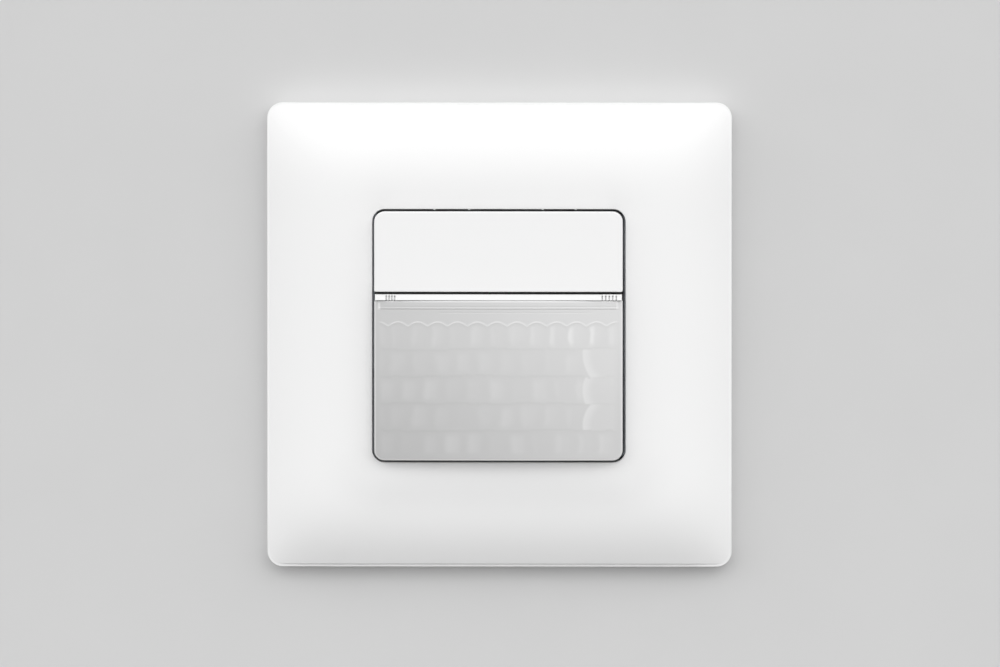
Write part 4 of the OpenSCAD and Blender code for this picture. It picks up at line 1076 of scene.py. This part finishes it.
# %% Painted highlight
# where the bright flank of a cell starts, is full and ends, as shares of its width
FLANK = (0.1, 0.2, 0.5)
# the flank's share of glow in the middle of the lens and at its right
FLANK_GLOW = (0.06, 0.62)
FLANK_RIGHT = 18.0
# what is left of it in the rows below the first
LOWER_ROWS = 0.15
# the last cell of a row starts here and keeps a part of its glow
LAST_CELL = (18.2, 19.4)
LAST_GLOW = 0.25
# a cell's own glow eases towards its right side
EASE_FROM = 0.15
EASE_TO = 0.3
# shares of painted highlight: the cells' own, the round cells, the scalloped line and the edges
OWN_GLOW = 0.15
ROUND_GLOW = 0.36
LINE_GLOW = 0.5
EDGE_GLOW = 0.55
rise = add(tree, RANGE, SMOOTH, {"Value": in_cell, "From Min": FLANK[0], "From Max": FLANK[1]})
fall = add(tree, RANGE, SMOOTH,
           {"Value": in_cell, "From Min": FLANK[1], "From Max": FLANK[2], "To Min": 1.0, "To Max": 0.0})
flank = add(tree, MATH, TIMES, {0: rise, 1: fall})
rightward = add(tree, RANGE, {"interpolation_type": "SMOOTHERSTEP"},
                {"Value": x, "From Max": FLANK_RIGHT, "To Min": FLANK_GLOW[0], "To Max": FLANK_GLOW[1]})
weaker = add(tree, MATH, TIMES_PLUS, {0: lower, 1: LOWER_ROWS - 1, 2: 1.0})
last = add(tree, RANGE, SMOOTH, {"Value": x, "From Min": LAST_CELL[0], "From Max": LAST_CELL[1],
                                 "To Min": 1.0, "To Max": LAST_GLOW})
side_glow = add(tree, MATH, TIMES, {0: rightward, 1: last})
bar_glow = add(tree, MATH, TIMES, {0: flank, 1: side_glow})
row_glow = add(tree, MATH, TIMES, {0: bar_glow, 1: weaker})
easing = add(tree, RANGE, SMOOTH,
             {"Value": in_cell, "From Min": EASE_FROM, "To Min": 1.0, "To Max": EASE_TO})
own_glow = add(tree, MATH, TIMES, {0: chance, 1: easing})
cell_glow = add(tree, MATH, TIMES_PLUS, {0: own_glow, 1: OWN_GLOW, 2: row_glow})
in_cells = add(tree, MATH, TIMES, {0: cell_glow, 1: inner})
kept = add(tree, MATH, TIMES, {0: in_cells, 1: plain})
with_arc = add(tree, MATH, TIMES_PLUS, {0: round_edge, 1: ROUND_GLOW, 2: kept})
below = add(tree, MATH, TIMES, {0: with_arc, 1: held})
with_line = add(tree, MATH, TIMES_PLUS, {0: line, 1: LINE_GLOW, 2: below})
painted_highlight = add(tree, MATH, TIMES_PLUS, {0: edge, 1: EDGE_GLOW, 2: with_line})
# the painted highlight is stored for the lens finish to mix in
stored = add(tree, "GeometryNodeStoreNamedAttribute", {"data_type": "FLOAT", "domain": "POINT"},
             {"Geometry": moved, "Name": "painted_highlight", "Value": painted_highlight})
end_tree(tree, sizes, stored)
lens_mesh = grown(tree, {"Row Top": 2.55, "Row Pitch": 4.85, "Cell Width": 3.54, "Wider": 0.36,
                         "Hollow": 0.02, "Line Base": 1.79, "Line Width": 0.19, "Line Height": 0.05,
                         "Hump": 0.74, "Round Centre": 21.0, "Round Radius": 5.9, "Seed": 7,
                         "Finish": lens_finish}, lens_mesh)
soften(lens_mesh, LENS_CRISP)
dress("lens_window", lens_mesh, "mechanism", "milky_lens", "lens_cover")

# %% [markdown]
# ## Wire that follows a helix
# The key's two return springs and the threads of the claw screws are both a section swept along a
# helix, so one tree makes them: a spiral curve, a section with many sides for wire or four for the
# ridge of a thread, and Curve to Mesh. The curve's normals point level, so the ridge doesn't twist.
# A spring on a key is squeezed; the springs' piece gets a mesh of its own.

# %% Helix tree
helix, sizes = new_tree("helix", {"Radius": LENGTH, "Turns": LENGTH, "Rise": LENGTH, "Wire": LENGTH,
                                  "Sides": COUNT, "Finish": FINISH})
spiral = add(helix, "GeometryNodeCurveSpiral", None,
             {"Resolution": 32, "Rotations": sizes["Turns"], "Start Radius": sizes["Radius"],
              "End Radius": sizes["Radius"], "Height": sizes["Rise"]})
upright = add(helix, "GeometryNodeSetCurveNormal", {"mode": "Z_UP"}, {"Curve": spiral})
section = add(helix, "GeometryNodeCurvePrimitiveCircle", None,
              {"Resolution": sizes["Sides"], "Radius": sizes["Wire"]})
wire = add(helix, "GeometryNodeCurveToMesh", None,
           {"Curve": upright, "Profile Curve": section, "Fill Caps": True})
end_tree(helix, sizes, wire)


def placed(bm, mesh, x, y, z):
    # a helix climbs along its own z; here that is out of the wall
    first = len(bm.verts)
    bm.from_mesh(mesh)
    bm.verts.ensure_lookup_table()
    for v in bm.verts[first:]:
        v.co = Vector((x + v.co.x / MM, y + v.co.y / MM, z + v.co.z / MM))


print("helix tree:", len(helix.nodes), "nodes")

# %% Key springs
SPRING_X = 8
SPRING_Z = 5.25
SPRING_R = 1.8
SPRING_TURNS = 4.0
SPRING_RISE = 3.84
SPRING_WIRE = 0.22
springs = bmesh.new()
for sx in (-1, 1):
    coil = grown(helix, {"Radius": SPRING_R * MM, "Turns": SPRING_TURNS, "Rise": SPRING_RISE * MM,
                         "Wire": SPRING_WIRE * MM, "Sides": 10, "Finish": finishes["steel"]})
    placed(springs, coil, sx * SPRING_X, TIP_Y, SPRING_Z + SPRING_WIRE)
spring_mesh = mesh_of("key_return_springs", springs)
spring_piece = dress("key_return_springs", spring_mesh, "mechanism", "steel", "key_springs")
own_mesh(spring_piece)

# %% [markdown]
# ## Claw screws
# A screw at each side draws a nut towards the frame, and the nut spreads the claw. The screw is
# a slotted pan head, a plain neck in the frame and a thread of 0.5 mm pitch. The thread is a core
# with a four-sided ridge wound round it. The slot is left between two half-moons on the head.

# %% Screws with threads
CREST_R = 1.48
CORE_R = 1.24
NECK_R = 1.45
THREAD_PITCH = 0.5
NECK_END = -0.4
NECK_CONE = 0.2
THREAD_END = NECK_END - 0.3
POINT = 0.5
HEAD_R = 2.4
HEAD_FOOT = 1.2
HEAD_EASE = 0.3
HEAD_STEPS = 4
HEAD_CHAMFER = 0.1
SLOT_HALF = 0.4
MOON_STEPS = 24
MOON_SUNK = 0.05


def half_moon(centre, side, inset, z):
    # the part of a disc beyond the slot, as one closed ring
    radius, chord = HEAD_R - inset, SLOT_HALF + inset / 2
    start = math.asin(chord / radius)
    turns = [start + (math.pi - 2 * start) * j / MOON_STEPS for j in range(MOON_STEPS + 1)]
    return [(centre[0] + radius * math.cos(t), centre[1] + side * radius * math.sin(t), z) for t in turns]


for node in ("claw_screw_left", "claw_screw_right"):
    low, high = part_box(node)
    centre = ((low[0] + high[0]) / 2 / MM, (low[2] + high[2]) / 2 / MM)
    tip_z, head_z = -high[1] / MM, -low[1] / MM
    screw = bmesh.new()
    middle_z = (HEAD_FOOT + head_z) / 2
    turned(screw, [(CORE_R - POINT, tip_z), (CORE_R, tip_z + POINT), (CORE_R, NECK_END - NECK_CONE),
                   (NECK_R, NECK_END), (NECK_R, HEAD_FOOT), (HEAD_R - HEAD_CHAMFER, HEAD_FOOT),
                   (HEAD_R, HEAD_FOOT + HEAD_CHAMFER), (HEAD_R, middle_z)], centre, sides=40)
    for side in (-1, 1):
        rings = [half_moon(centre, side, 0.0, middle_z - MOON_SUNK)]
        for inset, sunk in rounded(HEAD_EASE, HEAD_STEPS):
            rings.append(half_moon(centre, side, inset, head_z - sunk))
        skin(screw, rings)
    threaded = THREAD_END - tip_z - POINT
    ridge = grown(helix, {"Radius": CORE_R * MM, "Turns": threaded / THREAD_PITCH, "Rise": threaded * MM,
                          "Wire": (CREST_R - CORE_R) * MM, "Sides": 4, "Finish": finishes["steel"]})
    placed(screw, ridge, *centre, tip_z + POINT)
    dress(node + "_threaded", mesh_of(node + "_threaded", screw), body_of[node], "steel", node)

# %% [markdown]
# ## Broken edges on pressed and moulded hardware
# The tub, frame, nuts, clamps, contacts and small screws keep the solids' shapes, but real edges are
# never sharp. A copy of each solid is merged into whole faces and bevelled by a fraction of a millimetre.
# Each bevel is two facets that shade by themselves, so the faces beside them stay flat.
# The copy then stands for the solid, and catches light along its edges.

# %% Edges with room
# least angle of an edge that is broken, and most that a smooth chain of edges turns
SHARP = math.radians(38)
BEND = math.radians(40)
# in bevel widths: the room that a face needs beside an edge, and the length of a short edge
ROOM = 2.2
SHORT = 1.2


def direction(edge, corner):
    return (edge.other_vert(corner).co - corner.co).normalized()


def roomy_edges(bm, width):
    # outer edges whose faces reach well past the bevel
    chosen = set()
    for edge in bm.edges:
        if len(edge.link_faces) != 2 or not edge.is_convex or edge.calc_face_angle() < SHARP:
            continue
        start = edge.verts[0]
        along = direction(edge, start)
        depths = [max((v.co - start.co).cross(along).length for v in face.verts) for face in edge.link_faces]
        if min(depths) > ROOM * width:
            chosen.add(edge)
    # a short edge stays only in a smooth chain, and none stays beside a short plain one
    while True:
        cramped = set()
        for edge in chosen:
            for corner in edge.verts:
                others = [e for e in corner.link_edges if e is not edge]
                back = -direction(edge, corner)
                chained = any(direction(e, corner).angle(back) < BEND for e in others if e in chosen)
                blocked = any(e.calc_length() < SHORT * width for e in others if e not in chosen)
                if blocked or (edge.calc_length() < SHORT * width and not chained):
                    cramped.add(edge)
        if not cramped:
            return chosen
        chosen -= cramped


print("edges sharper than", round(math.degrees(SHARP)), "degrees are broken")

# %% Bevelled copies
# metres within which points are one, angle within which faces are one, and angle that stays sharp
SAME_POINT = 1e-6
SAME_FACE = math.radians(0.5)
FACET = 20


def broken_edges(node, width):
    mesh = frame["nodes"][node].data.copy()
    bm = bmesh.new()
    bm.from_mesh(mesh)
    bmesh.ops.remove_doubles(bm, verts=bm.verts, dist=SAME_POINT)
    bmesh.ops.dissolve_limit(bm, angle_limit=SAME_FACE, verts=bm.verts, edges=bm.edges)
    weight = bm.edges.layers.float.new("bevel_weight_edge")
    for edge in roomy_edges(bm, width * MM):
        edge[weight] = 1.0
    bm.to_mesh(mesh)
    bm.free()
    carrier = in_scene("carrier", mesh)
    bevel = carrier.modifiers.new("edges", "BEVEL")
    bevel.width = width * MM
    bevel.segments = 2
    bevel.limit_method = "WEIGHT"
    bevel.use_clamp_overlap = False
    graph = bpy.context.evaluated_depsgraph_get()
    result = bpy.data.meshes.new_from_object(carrier.evaluated_get(graph))
    bpy.data.objects.remove(carrier)
    soften(result, FACET)
    return dress(node + "_broken_edges", result, body_of[node], slot_of[node], node)


# width of each solid's bevel in mm
edge_widths = {"rear_housing": 0.25, "support_frame": 0.15, "claw_nut_left": 0.15, "claw_nut_right": 0.15,
               "housing_screws": 0.12, "terminal_contacts": 0.1}
for i in range(1, 5):
    edge_widths[f"terminal_clamp_{i}"] = 0.12
    edge_widths[f"terminal_screw_{i}"] = 0.12
for node, width in edge_widths.items():
    broken_edges(node, width)

# %% [markdown]
# ## Room: wall, floor and light
# The switch sits on a plain pale wall. The panel has an opening behind the plate, as a wall has for
# its box, so that the back can be looked at. A pale floor lies below, out of the picture.
# One broad lamp above the front gives the soft fall of light, and the sky fills the rest. It is
# brightest a third of the way up from the horizon, dim below and weaker overhead.
# Two weak lamps behind serve views of the back.

# %% Wall and floor
# matt paint: pale, with the soft stipple of a roller
wall_finish = finish("matt_wall_paint", "#D3D3D3", "#CFCFCF", (0.75, 0.85), 20, 0.8, 0.004, {})
floor_finish = finish("pale_floor_paint", "#D9D9D8", "#D4D4D3", (0.6, 0.75), 60, 2.0, 0.01, {})
WALL_HALF = 130
WALL_TOP = 90
WALL_R = 2
PANEL_BACK = -3
HOLE = 38.5
HOLE_R = 3
FLOOR_Y = -400
FLOOR_HALF = 200
FLOOR_R = 60
FLOOR_DEEP = 5
wall = bmesh.new()
outer_ring = outline(-WALL_HALF, WALL_HALF, FLOOR_Y, WALL_TOP, [WALL_R] * 4, side=8, corner=4)
inner_ring = outline(-HOLE, HOLE, -HOLE, HOLE, [HOLE_R] * 4, side=8, corner=4)
skin(wall, [level(outer_ring, 0), level(inner_ring, 0), level(inner_ring, PANEL_BACK),
            level(outer_ring, PANEL_BACK)], loop=True)
floor = bmesh.new()
sheet = outline(-FLOOR_HALF, FLOOR_HALF, -FLOOR_HALF, FLOOR_HALF, [FLOOR_R] * 4, side=4, corner=8)
skin(floor, [[(x, FLOOR_Y - drop, y) for x, y in sheet] for drop in (0, FLOOR_DEEP)])
for name, bm, material in (("wall_panel", wall, wall_finish), ("floor_sheet", floor, floor_finish)):
    mesh = mesh_of(name, bm)
    mesh.materials.append(material)
    in_scene(name, mesh)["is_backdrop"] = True
print("room: wall panel with an opening", 2 * HOLE, "mm wide")

# %% Camera
DISTANCE = 3000
VIEW_UP = 2.3
VIEW_RIGHT = 1.2
FRAME_WIDTH = 179.0
SENSOR = 36
SEES_TO = 100
AIM = (0.02, 0.05, 0.0)
camera = in_scene("camera", bpy.data.cameras.new("camera"))
up, right = math.radians(VIEW_UP), math.radians(VIEW_RIGHT)
level_way = DISTANCE * math.cos(up)
camera.location = at(AIM[0] + level_way * math.sin(right), AIM[1] + DISTANCE * math.sin(up),
                     level_way * math.cos(right))
camera.rotation_euler = (at(*AIM) - camera.location).to_track_quat("-Z", "Y").to_euler()
camera.data.sensor_width = SENSOR
camera.data.lens = SENSOR * DISTANCE / FRAME_WIDTH
camera.data.clip_end = SEES_TO
scene.camera = camera
print("camera:", round(camera.data.lens), "mm lens,", DISTANCE / 1000, "m away")

# %% Light


def lamp(name, spot, size, power):
    light = in_scene(name, bpy.data.lights.new(name, "AREA"))
    light.data.shape = "RECTANGLE"
    light.data.size, light.data.size_y = size
    light.data.energy = power
    light.location = at(*spot)
    light.rotation_euler = (-light.location).to_track_quat("-Z", "Y").to_euler()
    light.visible_camera = False


# place in mm, width and height in metres, and power in watts
lamp("front_lamp", (150, 520, 1410), (1.4, 1.0), 3.0)
lamp("rear_lamp_left", (-900, 500, -1000), (0.7, 0.7), 3.0)
lamp("rear_lamp_right", (900, 200, -1000), (0.7, 0.7), 2.0)
world = bpy.data.worlds.new("studio_sky")
scene.world = world
world.use_nodes = True
sky = world.node_tree
toward = add(sky, "ShaderNodeTexCoord").outputs["Generated"]
axes = add(sky, "ShaderNodeSeparateXYZ", None, {"Vector": toward})
# each row: the heights between which the sky changes, and its strength there
parts = []
for start, end, least, most in ((-0.6, 0.5, 0.1, 1.74), (0.5, 1.0, 1.0, 0.3)):
    parts.append(add(sky, RANGE, None, {"Value": axes.outputs["Z"], "From Min": start, "From Max": end,
                                        "To Min": least, "To Max": most}))
strength = add(sky, MATH, TIMES, {0: parts[0], 1: parts[1]})
sky.links.new(strength.outputs[0], sky.nodes["Background"].inputs["Strength"])
sky.nodes["Background"].inputs["Color"].default_value = linear("#FFFFFF")
scene.view_settings.view_transform = "Standard"
print("light: one front lamp, two rear lamps and a sky")

# %% [markdown]
# ## Sizes
# The dressed part has to stay in the box of the solids.

# %% Sizes and finish
low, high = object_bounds()
print("dressed box", [round(c / MM, 2) for c in (*low, *high)])
